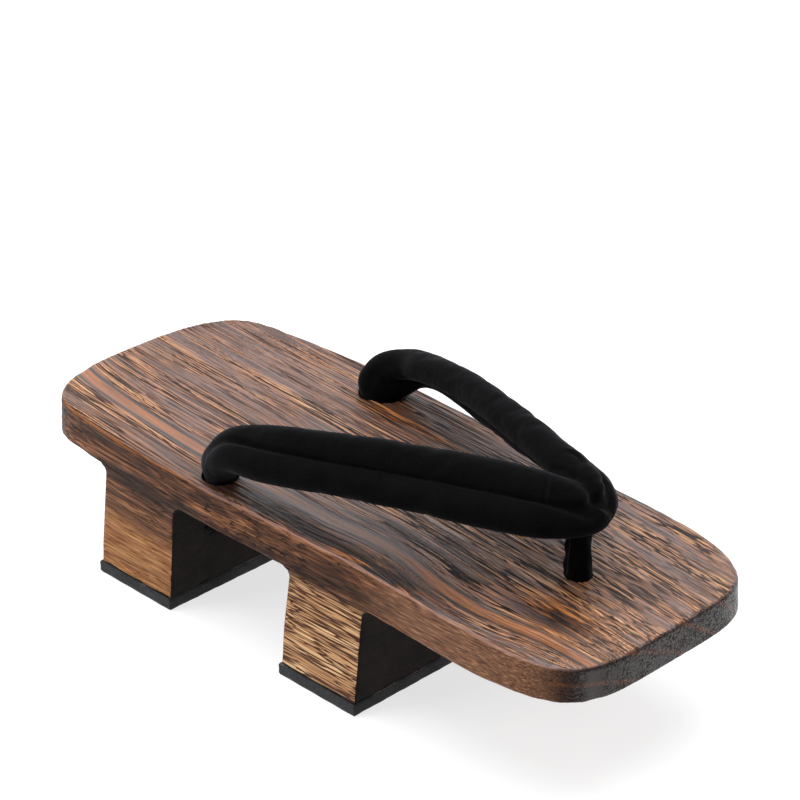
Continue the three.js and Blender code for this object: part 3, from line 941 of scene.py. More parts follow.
@dataclass
class Block:
    """The wooden block (dai) with its two teeth and its three holes."""

    length: float = 270.0
    places: tuple[float, ...] = (-135.0, -90.0, -45.0, 0.0, 45.0, 90.0, 135.0)
    halves: tuple[float, ...] = (46.8, 52.3, 54.2, 52.7, 51.5, 52.1, 49.6)
    tops: tuple[float, ...] = (62.5, 61.6, 61.3, 61.1, 60.5, 58.8, 55.6)
    unders: tuple[float, ...] = (47.0, 47.6, 47.3, 46.3, 45.1, 43.9, 43.2)
    heel_end: tuple[float, float] = (25.7, 2.84)
    toe_end: tuple[float, float] = (60.0, 4.73)
    side_flare: float = 0.6
    top_radius: float = 1.8
    under_radius: float = 0.8
    foot_height: float = 5.1
    foot_half: float = 51.8
    root_half: float = 54.6
    fillet: float = 3.5
    buried: float = 1.6
    tuck: float = 0.05
    teeth: tuple[Tooth, ...] = (Tooth(-95.6, -57.0, -89.1, -49.7), Tooth(2.4, 39.4, 8.9, 43.9))
    steps_along: int = 112
    steps_across: int = 176
    steps_side: int = 14
    outline_steps: int = 420
    relief: float = 0.62
    ribbon_depth: float = 0.3
    edge_bevel: float = 0.7
    dull_clearance: float = 1.5
    dull_facing: float = 0.75
    finish: LacqueredWood = field(default_factory=LacqueredWood)

    def along(self, values: Sequence[float], x: np.ndarray) -> np.ndarray:
        """Reads one of the block's rows of sizes at any place along it, on a smooth curve.

        Args:
            values: a size for each of the block's places.
            x: where it is read.

        Returns:
            The size at each x.
        """
        rows = np.array(values)
        slopes = np.gradient(rows)
        spacing = self.places[1] - self.places[0]
        place = np.clip((x - self.places[0]) / spacing, 0, len(rows) - 1)
        row = np.minimum(place.astype(int), len(rows) - 2)
        t = place - row
        rise = rows[row + 1] - rows[row]
        bend_a = slopes[row] - rise
        bend_b = rise - slopes[row + 1]
        return rows[row] + t * rise + t * (1 - t) * ((1 - t) * bend_a + t * bend_b)

    def top_at(self, x: Any) -> np.ndarray:
        """The top's height at x."""
        return self.along(self.tops, np.asarray(x, float))

    def under_at(self, x: Any) -> np.ndarray:
        """The underside's height at x."""
        return self.along(self.unders, np.asarray(x, float))

    def half_width(self, x: np.ndarray) -> np.ndarray:
        """Works out half the outline's width, rounded in at both ends.

        Args:
            x: places along the block.

        Returns:
            The half width at each place.
        """
        made = self.along(self.halves, x)
        past_heel = -self.length / 2 + self.heel_end[0] - x
        past_toe = x - (self.length / 2 - self.toe_end[0])
        for past, (reach, power) in ((past_heel, self.heel_end), (past_toe, self.toe_end)):
            share = np.clip(past / reach, 0, 1)
            made = made * (1 - share**power) ** (1 / power)
        return made

    def left_outline(self, offset: float) -> np.ndarray:
        """The left half of the outline, from the toe's tip to the heel's, moved outwards.

        Args:
            offset: how far it is moved.

        Returns:
            Rows of x and y.
        """
        angles = math.pi * np.arange(self.outline_steps + 1) / self.outline_steps
        x = self.length / 2 * np.cos(angles)
        y = self.half_width(x)
        y[[0, -1]] = 0.0
        points = np.stack([x, y], -1)
        along = np.gradient(points, axis=0)
        along[0], along[-1] = (0.0, 1.0), (0.0, -1.0)
        along /= np.linalg.norm(along, axis=1)[:, None]
        return points + offset * np.stack([along[:, 1], -along[:, 0]], -1)

    def patch(self, offset: float) -> np.ndarray:
        """Fills the outline with an even net of points, four-sided with its corners rounded.

        Args:
            offset: how far the outline is moved outwards.

        Returns:
            Rows of x and y by place along and across.
        """
        left = self.left_outline(offset)
        along = np.gradient(left, axis=0)
        slant = np.abs(along[:, 0]) - np.abs(along[:, 1])
        crossings = np.nonzero(np.diff(np.sign(slant)))[0]
        toe, heel = crossings[0], crossings[-1] + 1
        right = left * (1, -1)
        sides_left = resample(left[toe : heel + 1][::-1], self.steps_along + 1)
        sides_right = sides_left * (1, -1)
        front = resample(np.vstack([right[1 : toe + 1][::-1], left[: toe + 1]]), self.steps_across + 1)
        back = resample(np.vstack([right[heel:-1], left[heel:][::-1]]), self.steps_across + 1)
        u = np.linspace(0, 1, self.steps_along + 1)[:, None, None]
        v = np.linspace(0, 1, self.steps_across + 1)[None, :, None]
        corners = ((1 - u) * (1 - v) * back[0] + (1 - u) * v * back[-1]
                   + u * (1 - v) * front[0] + u * v * front[-1])
        return ((1 - v) * sides_right[:, None] + v * sides_left[:, None]
                + (1 - u) * back[None] + u * front[None] - corners)

    def platform(self) -> bpy.types.Object:
        """Makes the platform: the outline carried up, flared below and rounded along its top edge.

        Returns:
            The closed platform, without its teeth.
        """
        levels = []
        for angle in np.linspace(0, math.pi / 2, 4):
            levels.append((self.side_flare - self.under_radius * (1 - math.sin(angle)), 0.0,
                           self.under_radius * (1 - math.cos(angle)), 0.0))
        for share in np.linspace(0, 1, self.steps_side + 1)[1:]:
            levels.append((self.side_flare * (1 - share), share, self.under_radius * (1 - share),
                           -self.top_radius * share))
        for angle in np.linspace(0, math.pi / 2, 6)[1:]:
            levels.append((-self.top_radius * (1 - math.cos(angle)), 1.0, 0.0,
                           -self.top_radius * (1 - math.sin(angle))))
        sheets = []
        for offset, share, above_under, above_top in levels:
            plan = self.patch(offset)
            low, high = self.under_at(plan[..., 0]), self.top_at(plan[..., 0])
            height = (1 - share) * low + share * high + above_under + above_top
            sheets.append(np.concatenate([plan, height[..., None]], -1))
        return mesh_object("dai_platform", *skin(np.array(sheets)))

    def tooth_body(self, tooth: Tooth) -> bpy.types.Object:
        """Makes one tooth: raked, tapered to its foot and filleted into the platform.

        Args:
            tooth: where its faces stand.

        Returns:
            The tooth, a little of it buried in the platform.
        """
        heights = np.linspace(0, 1, tooth.steps_up + 1)
        sheets = []
        for share in [*heights, *(1 + self.buried / self.unders[3] * np.array([0.5, 1.0]))]:
            sides = []
            for foot, root, outward in ((tooth.foot_back, tooth.root_back, -1),
                                        (tooth.foot_front, tooth.root_front, 1)):
                below = float(self.under_at(root))
                z = self.foot_height + share * (below - self.foot_height)
                x = foot + (z / below) * (root - foot)
                reach = np.clip(below - z, 0, self.fillet)
                flare = self.fillet - math.sqrt(self.fillet**2 - (self.fillet - reach) ** 2)
                sides.append((x + outward * flare, z))
            u = np.linspace(0, 1, tooth.steps_along + 1)[:, None]
            v = np.linspace(-1, 1, tooth.steps_across + 1)[None]
            x = (1 - u) * sides[0][0] + u * sides[1][0] + 0 * v
            z = (1 - u) * sides[0][1] + u * sides[1][1] + 0 * v
            taper = self.foot_half + (self.root_half - self.foot_half) * z / self.unders[3]
            half = np.minimum(self.half_width(x) + self.side_flare, taper) - self.tuck
            sheets.append(np.stack([x, half * v, z], -1))
        made = mesh_object("dai_tooth", *skin(np.array(sheets)))
        worn = made.modifiers.new("worn edges", "BEVEL")
        worn.width = self.edge_bevel * MM
        worn.segments = 2
        worn.limit_method = "ANGLE"
        worn.angle_limit = math.radians(60)
        return settle_modifiers(made)

    def grain_tree(self) -> bpy.types.NodeTree:
        """Makes the geometry tree that sinks the furrows and raises the ridges of the grain.

        Returns:
            The tree. Its relief fades on the ribbon and on the end grain.
        """
        tree, start = geometry_tree("grain relief", {
            "Depth": "NodeSocketFloat", "Ribbon Depth": "NodeSocketFloat",
            "Material": "NodeSocketMaterial"})
        outward = add_node(tree, "GeometryNodeInputNormal")
        parts = self.finish.figure.add_to(tree, add_node(tree, "GeometryNodeInputPosition"))
        parts.update({socket.name: socket for socket in start.outputs})
        faces = add_node(tree, "ShaderNodeSeparateXYZ", {0: outward})
        parts["aside"] = add_node(tree, "ShaderNodeMath", {0: faces.outputs["X"]}, operation="ABSOLUTE")
        for name, source, start_at, end_at, first, last in (
                ("sunk", "line", 0.0, 0.14, -0.3, 0.05), ("calm", "ribbon", 0.0, 1.0, 1.0, 0.25),
                ("ends", "aside", 0.3, 0.8, 1.0, 0.25)):
            parts[name] = add_node(tree, "ShaderNodeMapRange", {
                "Value": parts[source], "From Min": start_at, "From Max": end_at, "To Min": first,
                "To Max": last})
        for name, first, way, second in (
                ("coarse", "band", "MULTIPLY", 0.9), ("both", "fibre", "ADD", "coarse"),
                ("level", "both", "SUBTRACT", 1.1), ("grain", "level", "ADD", "sunk"),
                ("quiet", "calm", "MULTIPLY", "ends"), ("ridges", "grain", "MULTIPLY", "quiet"),
                ("deep", "ridges", "MULTIPLY", "Depth"), ("furrow", "ribbon", "MULTIPLY", "Ribbon Depth"),
                ("lift", "deep", "SUBTRACT", "furrow")):
            parts[name] = add_node(tree, "ShaderNodeMath",
                                   {0: parts[first], 1: parts.get(second, second)}, operation=way)
        shift = add_node(tree, "ShaderNodeVectorMath", {0: outward, "Scale": parts["lift"]},
                         operation="SCALE")
        moved = add_node(tree, "GeometryNodeSetPosition", {"Geometry": start, "Offset": shift})
        whole = add_node(tree, "GeometryNodeRealizeInstances", {"Geometry": moved})
        coated = add_node(tree, "GeometryNodeSetMaterial",
                          {"Geometry": whole, "Material": parts["Material"]})
        add_node(tree, "NodeGroupOutput", {"Geometry": coated})
        return tree

    def build(self, holes: Sequence[bpy.types.Object]) -> bpy.types.Object:
        """Makes the block, cuts its holes and raises its grain.

        Args:
            holes: the closed bodies that are cut out of it.

        Returns:
            The finished block.
        """
        made = self.platform()
        for tooth in self.teeth:
            made = combine(made, self.tooth_body(tooth), "UNION")
        for hole in holes:
            made = combine(made, hole, "DIFFERENCE")
        wood = self.finish.build()
        made.name = "dai_wood"
        run_nodes(made, self.grain_tree(), **{
            "Depth": self.relief * MM, "Ribbon Depth": self.ribbon_depth * MM, "Material": wood})
        shade(made, 50)
        dress(made, wood, Material.WOOD, "dai")
        self.darken_teeth(made)
        return made

    def darken_teeth(self, made: bpy.types.Object) -> None:
        """Gives the teeth's back and front faces, under the platform, their dull end grain: near-black
        from stain and painted shade.

        Args:
            made: the finished block.
        """
        # The tooth faces under the platform take the near-black end grain: stain and painted shade.
        made.data.materials.append(EndGrain().build())
        for face in made.data.polygons:
            ceiling = float(self.under_at(face.center[0] / MM)) - self.dull_clearance
            if face.center[2] / MM < ceiling and abs(face.normal[0]) > self.dull_facing:
                face.material_index = 1


# ---------------------------------------------------------------- the ground pads


@dataclass
class GroundPad:
    """A rubber pad glued under one tooth: a slab with worn edges and a little give along its rim."""

    node: str
    back: float
    front: float
    half: float = 52.2
    flare: float = 0.3
    height: float = 4.8
    edge: float = 0.35
    steps_along: int = 40
    steps_across: int = 104

    def build(self, rubber: bpy.types.Material) -> bpy.types.Object:
        """Makes the pad in its rubber.

        Args:
            rubber: its finish.

        Returns:
            The finished pad.
        """
        u = np.linspace(-1, 1, self.steps_along + 1)[:, None]
        v = np.linspace(-1, 1, self.steps_across + 1)[None]
        middle, reach = (self.back + self.front) / 2, (self.front - self.back) / 2
        sheets = []
        for z in np.linspace(0, self.height, 7):
            from_edge = min(z, self.height - z)
            inset = self.edge - math.sqrt(max(0.0, self.edge**2 - max(0.0, self.edge - from_edge) ** 2))
            wave = 0.06 * np.sin(v * 23 + z) + 0.05 * np.sin(v * 57 + 2 * z)
            wave_side = 0.06 * np.sin(u * 11 + z)
            x = middle + u * (reach - inset + wave)
            y = v * (self.half + self.flare * z / self.height - inset + wave_side)
            sheets.append(np.stack([x, y, np.full_like(x, z)], -1))
        made = mesh_object(f"{self.node}_rubber", *skin(np.array(sheets)))
        shade(made, 35)
        dress(made, rubber, Material.RUBBER, self.node)
        return made


# ---------------------------------------------------------------- the strap


Row = tuple[float, float, float, float]


@dataclass(frozen=True)
class Crease:
    """A soft trough or ridge laid along a short line on a padded piece. A negative depth is a ridge."""

    line: tuple[tuple[float, float, float], ...]
    width: float
    depth: float


@dataclass
class Strap:
    """The padded velvet strap: two stuffed rolls side by side, divided over the foot.

    The outer rolls run in one length round the tip, and the inner rolls meet behind it. Each row holds a
    centre and a radius. The rear ends stand a little differently on the two sides.
    """

    right_outer_end: tuple[Row, ...] = (
        (-38.9, -41.6, 46.0, 4.2), (-38.2, -42.1, 56.0, 4.8), (-36.5, -43.3, 63.9, 6.8),
        (-32.4, -45.6, 69.2, 6.7), (-25.1, -46.8, 74.5, 6.5))
    left_outer_end: tuple[Row, ...] = (
        (-38.9, -41.6, 46.0, 4.2), (-38.8, -41.7, 56.0, 4.8), (-38.7, -41.6, 64.1, 6.8),
        (-33.6, -44.8, 68.9, 6.8), (-25.1, -47.4, 74.0, 6.5))
    outer_run: tuple[Row, ...] = (
        (-13.2, -45.9, 76.0, 6.3), (9.0, -39.5, 77.8, 6.3), (40.6, -29.2, 80.1, 6.4),
        (71.0, -20.2, 81.9, 6.5), (88.3, -13.7, 83.0, 6.5), (95.6, -7.0, 83.3, 6.5))
    tip: Row = (98.0, 0.0, 83.0, 6.5)
    right_inner_end: tuple[Row, ...] = (
        (-40.9, -40.5, 46.0, 4.2), (-40.8, -40.2, 56.0, 4.8), (-40.0, -39.9, 63.0, 6.6),
        (-37.0, -41.1, 68.7, 6.4), (-28.7, -42.3, 76.6, 6.2))
    left_inner_end: tuple[Row, ...] = (
        (-40.9, -40.5, 46.0, 4.2), (-41.6, -40.2, 56.0, 4.8), (-43.4, -39.9, 65.3, 7.0),
        (-39.8, -41.3, 71.4, 6.8), (-28.9, -43.3, 76.5, 6.3))
    inner_run: tuple[Row, ...] = (
        (-16.6, -40.0, 81.0, 6.2), (8.5, -33.2, 85.5, 6.2), (38.2, -23.2, 88.4, 6.4),
        (69.4, -12.8, 89.8, 6.6), (83.9, -8.3, 89.8, 6.6), (93.2, -4.7, 87.7, 6.5),
        (98.6, -2.6, 85.2, 4.8))
    end_fill: tuple[float, ...] = (0.0, 0.3, 0.6, 0.5, -1.0)
    groove_starts: tuple[float, float] = (-38.0, -22.0)
    cut_height: float = 26.0
    seam_reach: float = 1.6
    held_below: float = 63.5
    bending: float = 2.0
    stretching: float = 12.0
    sides: int = 36
    step: float = 1.6
    voxel: float = 1.25
    pressure: float = 4.0
    swell_limit: float = 0.4
    smoothing: int = 5
    frames: int = 16
    shrink: float = 0.35
    channel_depth: float = 1.6
    channel_width: float = 0.9
    creases: tuple[Crease, ...] = (
        Crease(((76, 4, 90.5), (82, 3, 92.5), (87, 2, 93), (91, 2, 92.5), (95, 3, 91), (98, 6, 89.8)),
               1.0, 1.0),
        Crease(((80, 0, 93.9), (87, -1.4, 94.7), (91, -1.2, 93.8), (95, 0, 92)), 1.1, -0.7),
        Crease(((85, -7, 95.6), (87, -10, 94.8), (88.4, -12, 92.6), (89, -13.2, 90)), 0.7, 0.55),
        Crease(((86.4, -6, 95.7), (88.4, -9.2, 94.8), (89.8, -11.2, 92.6), (90.4, -12.4, 90)), 0.8, -0.35),
        Crease(((95, 2.5, 90.5), (99, 1.4, 89.5), (100.5, -0.6, 88.8)), 0.8, 0.6),
        Crease(((94, 4, 92), (95, 8, 91), (94.5, 12, 89)), 1.4, 1.3),
        Crease(((79, 8.4, 96.2), (83, 8.8, 96.2), (86, 7.6, 95.8), (88.6, 5.2, 94.8)), 0.8, 0.6),
        Crease(((78.6, 10, 96.0), (83, 10.4, 96.0), (87, 9.4, 95.4)), 0.9, -0.4),
        Crease(((88.4, 9.4, 94.8), (87.4, 13, 93), (86.8, 17, 89)), 1.0, 0.7),
        Crease(((103.2, 5, 86.5), (104.2, 5.4, 82.5), (102.6, 5, 78.5)), 1.5, 0.45),
        Crease(((101, -11, 86.4), (102, -11.4, 81.5), (100, -10, 77.5)), 1.8, 0.4),
        Crease(((66, -27.2, 84), (68, -29, 80), (67, -27.4, 76.4)), 2.2, 0.3),
        Crease(((20, -43.2, 82), (22, -45, 78), (21, -43.4, 73.6)), 2.6, 0.25),
        Crease(((48, 16.4, 93.6), (50, 20, 95), (51, 23.4, 92.6)), 1.8, 0.3),
        Crease(((-30, -47, 81), (-33, -49, 76), (-37, -49.4, 70)), 2.4, 0.35),
        Crease(((-32, 38, 79), (-37, 36.4, 74), (-42, 34.6, 68)), 2.2, 0.35),
    )

    def paths(self) -> list[np.ndarray]:
        """Runs the rolls' centre lines.

        Returns:
            Rows of centre and radius for the outer roll, the right inner roll and the left inner roll.
        """
        mirror = np.array([1.0, -1.0, 1.0, 1.0])
        left = np.array([*self.left_outer_end, *self.outer_run]) * mirror
        right = np.array([*self.right_outer_end, *self.outer_run, self.tip])
        outer = np.vstack([right, left[::-1]])
        inner_right = np.array([*self.right_inner_end, *self.inner_run])
        inner_left = np.array([*self.left_inner_end, *self.inner_run]) * mirror
        return [smooth_path(rows, self.step) for rows in (outer, inner_right, inner_left)]

    def end_paths(self) -> list[np.ndarray]:
        """Runs the fillings that round off the two rear ends, where the rolls are sewn into one cap.

        Returns:
            Rows of centre and radius for the right and the left end.
        """
        made = []
        for outer, inner, side in ((self.right_outer_end, self.right_inner_end, 1.0),
                                   (self.left_outer_end, self.left_inner_end, -1.0)):
            middle = (np.array(outer) + np.array(inner)) / 2
            middle[:, 1] *= side
            middle[:, 3] += self.end_fill
            made.append(smooth_path(middle, self.step))
        return made

    def roll(self, path: np.ndarray, grow: float) -> bpy.types.Object:
        """Makes one closed roll.

        Args:
            path: rows of centre and radius.
            grow: what is added to the radius.

        Returns:
            The roll.
        """
        rings = tube_rings(path[:, :3], path[:, 3] + grow, self.sides)
        return mesh_object("strap_roll", rings.reshape(-1, 3), ring_faces(len(rings), self.sides))

    def body(self, grow: float) -> bpy.types.Object:
        """Joins the rolls into one closed body.

        Args:
            grow: what is added to each roll's radius.

        Returns:
            The body.
        """
        first, *others = [self.roll(path, grow) for path in [*self.paths(), *self.end_paths()]]
        for other in others:
            first = combine(first, other, "UNION")
        return first

    def hole_bodies(self, clearance: float, below: float) -> list[bpy.types.Object]:
        """Makes what is cut out of the wood for the two rear cord ends.

        Args:
            clearance: the space left round the strap.
            below: the height that the holes reach down to.

        Returns:
            A closed body for each roll's end.
        """
        made = []
        outer, inner_right, inner_left = self.paths()
        count = len(outer) // 3
        for end in (outer[:count], outer[::-1][:count], inner_right[:count], inner_left[:count]):
            kept = end[end[:, 2] < end[:, 2].min() + self.cut_height]
            foot = kept[0].copy()
            foot[2] = below
            made.append(self.roll(np.vstack([foot, kept]), clearance))
        return made

    def remesh(self, obj: bpy.types.Object) -> bpy.types.Object:
        """Covers a body with an even mesh.

        Args:
            obj: the body.

        Returns:
            The same piece, with its new mesh.
        """
        cover = obj.modifiers.new("cover", "REMESH")
        cover.mode = "VOXEL"
        cover.voxel_size = self.voxel * MM
        return settle_modifiers(obj)

    def groove_share(self, points: np.ndarray, width: float) -> np.ndarray:
        """How close each point lies to the channel where two rolls meet.

        Args:
            points: rows of x, y and z.
            width: how far the channel is felt.

        Returns:
            From 0, far off, to 1 in the channel.
        """
        away = []
        for path in self.paths():
            fine = smooth_path(path[::2], self.step / 2)
            nearest = np.full(len(points), np.inf)
            for row in fine:
                gap = np.abs(np.linalg.norm(points - row[:3], axis=1) - row[3])
                nearest = np.minimum(nearest, gap)
            away.append(nearest)
        outer, right, left = away
        start, full = self.groove_starts
        rising = np.clip((points[:, 0] - start) / (full - start), 0, 1)
        return rising * np.exp(-((np.maximum(outer, np.minimum(right, left)) / width) ** 2))

    def stuff(self, obj: bpy.types.Object) -> bpy.types.Object:
        """Blows the cover up against its stitched channel, as stuffing does, and keeps the result.

        Args:
            obj: the strap's cover.

        Returns:
            The same piece, swollen by no more than the limit.
        """
        before = points_of(obj)
        stitched, held = self.groove_share(before, self.seam_reach), before[:, 2] < self.held_below
        pinned = np.clip(stitched + held, 0, 1)
        group = obj.vertex_groups.new(name="stitched")
        for index, share in enumerate(pinned):
            group.add([index], float(share), "REPLACE")
        cloth = obj.modifiers.new("stuffing", "CLOTH")
        cloth.settings.quality = 4
        cloth.settings.mass = 0.2
        cloth.settings.tension_stiffness = self.stretching
        cloth.settings.compression_stiffness = self.stretching
        cloth.settings.bending_stiffness = self.bending
        cloth.settings.use_pressure = True
        cloth.settings.uniform_pressure_force = self.pressure
        cloth.settings.vertex_group_mass = group.name
        cloth.settings.shrink_min = -0.02
        cloth.settings.effector_weights.gravity = 0
        cloth.collision_settings.use_collision = False
        cloth.point_cache.frame_end = self.frames
        scene = bpy.context.scene
        for number in range(1, self.frames + 1):
            scene.frame_set(number)
        settle_modifiers(obj)
        scene.frame_set(1)
        shift = points_of(obj) - before
        length = np.linalg.norm(shift, axis=1)
        kept = self.swell_limit * np.tanh(length / self.swell_limit) / np.maximum(length, TINY)
        move_points(obj, before + shift * kept[:, None])
        obj.vertex_groups.clear()
        eased = obj.modifiers.new("eased", "SMOOTH")
        eased.iterations = self.smoothing
        return settle_modifiers(obj)

    def press(self, obj: bpy.types.Object) -> bpy.types.Object:
        """Lays the stitched channel and the creases into the cover.

        Args:
            obj: the strap's cover.

        Returns:
            The same piece, creased.
        """
        points, outward = points_of(obj), normals_of(obj)
        lift = -self.channel_depth * self.groove_share(points, self.channel_width)
        for crease in self.creases:
            line = smooth_path(np.array(crease.line, float), 0.4)
            nearest = np.full(len(points), np.inf)
            ends = np.zeros(len(points))
            for index, row in enumerate(line):
                gap = np.linalg.norm(points - row[:3], axis=1)
                closer = gap < nearest
                nearest[closer] = gap[closer]
                ends[closer] = math.sin(math.pi * (index + 0.5) / len(line)) ** 0.5
            lift -= crease.depth * ends * np.exp(-((nearest / crease.width) ** 2))
        move_points(obj, points + outward * lift[:, None])
        return obj

    def build(self, velvet: bpy.types.Material) -> bpy.types.Object:
        """Makes the strap in its velvet.

        Args:
            velvet: its finish.

        Returns:
            The finished strap.
        """
        made = self.remesh(self.body(-self.shrink))
        made.name = "strap_cover"
        self.stuff(made)
        finer = made.modifiers.new("finer", "SUBSURF")
        finer.levels = finer.render_levels = 1
        settle_modifiers(made)
        self.press(made)
        shade(made, 180)
        dress(made, velvet, Material.VELVET, "strap")
        return made


# ---------------------------------------------------------------- the front thong


@dataclass
class Thong:
    """The velvet thong that ties the strap's tip down: a gathered sleeve with its seam to one side."""

    x: float = 93.6
    radius: float = 4.3
    bottom: float = 42.9
    top: float = 81.0
    seam_degrees: float = 205.0
    seam_height: float = 1.3
    sides: int = 72
    step: float = 0.6

    def build(self, velvet: bpy.types.Material) -> bpy.types.Object:
        """Makes the thong in its velvet.

        Args:
            velvet: its finish.

        Returns:
            The finished thong.
        """
        heights = np.arange(self.bottom, self.top, self.step)
        angles = 2 * math.pi * np.arange(self.sides) / self.sides
        away = np.angle(np.exp(1j * (angles - math.radians(self.seam_degrees))))
        rings = []
        for z in heights:
            frill = 0.55 + 0.45 * math.sin(z * 0.62) * math.sin(z * 0.23 + 1.2)
            seam = self.seam_height * frill * np.exp(-((away / 0.26) ** 2))
            behind = 0.45 * np.exp(-(((away + 0.55) / 0.16) ** 2))
            before = 0.35 * np.exp(-(((away - 0.6) / 0.2) ** 2))
            folds = 0.16 * np.sin(5 * angles + 0.35 * z) * math.sin(0.31 * z + 0.8)
            waist = 0.35 * math.cos(2 * math.pi * (z - 58) / 24)
            radius = self.radius + seam - behind - before + folds + waist
            rings.append(np.stack([self.x + radius * np.cos(angles), radius * np.sin(angles),
                                   np.full(self.sides, z)], -1))
        points = np.array(rings).reshape(-1, 3)
        made = mesh_object("front_thong_sleeve", points, ring_faces(len(rings), self.sides))
        shade(made, 60)
        dress(made, velvet, Material.VELVET, "front_thong")
        return made

    def hole_body(self, clearance: float, below: float) -> bpy.types.Object:
        """Makes what is cut out of the wood for the thong.

        Args:
            clearance: the space left round it.
            below: the height that the hole reaches down to.

        Returns:
            The closed body.
        """
        path = np.array([[self.x, 0.0, z] for z in np.arange(below, self.top, 4.0)])
        rings = tube_rings(path, np.full(len(path), self.radius + clearance), self.sides)
        return mesh_object("thong_hole", rings.reshape(-1, 3), ring_faces(len(rings), self.sides))


# ---------------------------------------------------------------- the knots


@dataclass
class Knot:
    """An overhand knot in a cord end, drawn up under its hole, with the cut end standing out below."""

    node: str
    x: float
    y: float
    reach: float
    height: float = 9.5
    drop: float = 1.6
    cord_radius: float = 1.9
    turn_degrees: float = 0.0
    twist_length: float = 9.0
    steps: int = 150

    def path(self, under: float) -> np.ndarray:
        """The cord's centre line: down from the hole, over and under itself, and out to its cut end.

        Args:
            under: the height of the wood's underside above the knot.

        Returns:
            Rows of x, y and z.
        """
        t = np.linspace(0.16, 2 * math.pi - 0.5, self.steps)
        loops = np.stack([np.sin(t) + 2 * np.sin(2 * t), np.cos(t) - 2 * np.cos(2 * t),
                          -np.sin(3 * t)], -1)
        spread = (self.reach - self.cord_radius) / 3.0
        rise = (self.height / 2 - self.cord_radius) * 0.95
        turn = math.radians(self.turn_degrees)
        middle = np.array([self.x, self.y, under - self.drop - self.height / 2])
        x = spread * (loops[:, 0] * math.cos(turn) - loops[:, 1] * math.sin(turn))
        y = spread * (loops[:, 0] * math.sin(turn) + loops[:, 1] * math.cos(turn))
        return middle + np.stack([x, y, rise * loops[:, 2]], -1)

    def cord_tree(self) -> bpy.types.NodeTree:
        """Makes the geometry tree that lays a three-strand twisted cord along a curve.

        Returns:
            The tree.
        """
        tree, start = geometry_tree("twisted cord", {
            "Cord Radius": "NodeSocketFloat", "Twist Length": "NodeSocketFloat",
            "Material": "NodeSocketMaterial"})
        centre = add_node(tree, "GeometryNodeMeshToCurve", {"Mesh": start.outputs["Geometry"]})
        length = add_node(tree, "GeometryNodeSplineParameter")
        turns = add_node(tree, "ShaderNodeMath",
                         {0: length.outputs["Length"], 1: start.outputs["Twist Length"]},
                         operation="DIVIDE")
        angle = add_node(tree, "ShaderNodeMath", {0: turns, 1: 2 * math.pi}, operation="MULTIPLY")
        tilted = add_node(tree, "GeometryNodeSetCurveTilt", {"Curve": centre, "Tilt": angle})
        circle = add_node(tree, "GeometryNodeCurvePrimitiveCircle",
                          {"Resolution": 24, "Radius": start.outputs["Cord Radius"]})
        spot = add_node(tree, "GeometryNodeInputPosition")
        split = add_node(tree, "ShaderNodeSeparateXYZ", {0: spot})
        around = add_node(tree, "ShaderNodeMath",
                          {0: split.outputs["Y"], 1: split.outputs["X"]}, operation="ARCTAN2")
        thrice = add_node(tree, "ShaderNodeMath", {0: around, 1: 3.0}, operation="MULTIPLY")
        lobes = add_node(tree, "ShaderNodeMath", {0: thrice}, operation="COSINE")
        grown = add_node(tree, "ShaderNodeMath", {0: lobes, 1: 0.14, 2: 0.86}, operation="MULTIPLY_ADD")
        shaped = add_node(tree, "ShaderNodeVectorMath", {0: spot, "Scale": grown}, operation="SCALE")
        strands = add_node(tree, "GeometryNodeSetPosition", {"Geometry": circle, "Position": shaped})
        cord = add_node(tree, "GeometryNodeCurveToMesh",
                        {"Curve": tilted, "Profile Curve": strands, "Fill Caps": True})
        whole = add_node(tree, "GeometryNodeRealizeInstances", {"Geometry": cord})
        coated = add_node(tree, "GeometryNodeSetMaterial",
                          {"Geometry": whole, "Material": start.outputs["Material"]})
        add_node(tree, "NodeGroupOutput", {"Geometry": coated})
        return tree

    def build(self, cotton: bpy.types.Material, under: float) -> bpy.types.Object:
        """Makes the knot in its cord.

        Args:
            cotton: its finish.
            under: the height of the wood's underside above the knot.

        Returns:
            The finished knot.
        """
        path = self.path(under)
        mesh = bpy.data.meshes.new(self.node)
        mesh.from_pydata((path * MM).tolist(), [(i, i + 1) for i in range(len(path) - 1)], [])
        made = bpy.data.objects.new(f"{self.node}_cord", mesh)
        bpy.context.scene.collection.objects.link(made)
        run_nodes(made, self.cord_tree(), **{"Cord Radius": self.cord_radius * MM,
                                             "Twist Length": self.twist_length * MM, "Material": cotton})
        shade(made, 70)
        dress(made, cotton, Material.CORD, self.node)
        return made


# ---------------------------------------------------------------- the studio


@dataclass
class Softbox:
    """One soft light: where it stands, what it looks at, how large it is and how strong."""

    name: str
    place: tuple[float, float, float]
    size: float
    watts: float
    colour: str = "ffffff"
    target: tuple[float, float, float] = (0.0, 0.0, 0.04)

    def build(self) -> bpy.types.Object:
        """Hangs the light, turned to its target.

        Returns:
            The light.
        """
        lamp = bpy.data.lights.new(self.name, "AREA")
        lamp.shape = "SQUARE"
        lamp.size = self.size
        lamp.energy = self.watts
        lamp.color = linear(self.colour)[:3]
        made = bpy.data.objects.new(self.name, lamp)
        made.location = self.place
        aim = Vector(self.target) - Vector(self.place)
        made.rotation_euler = aim.to_track_quat("-Z", "Y").to_euler()
        bpy.context.scene.collection.objects.link(made)
        return made


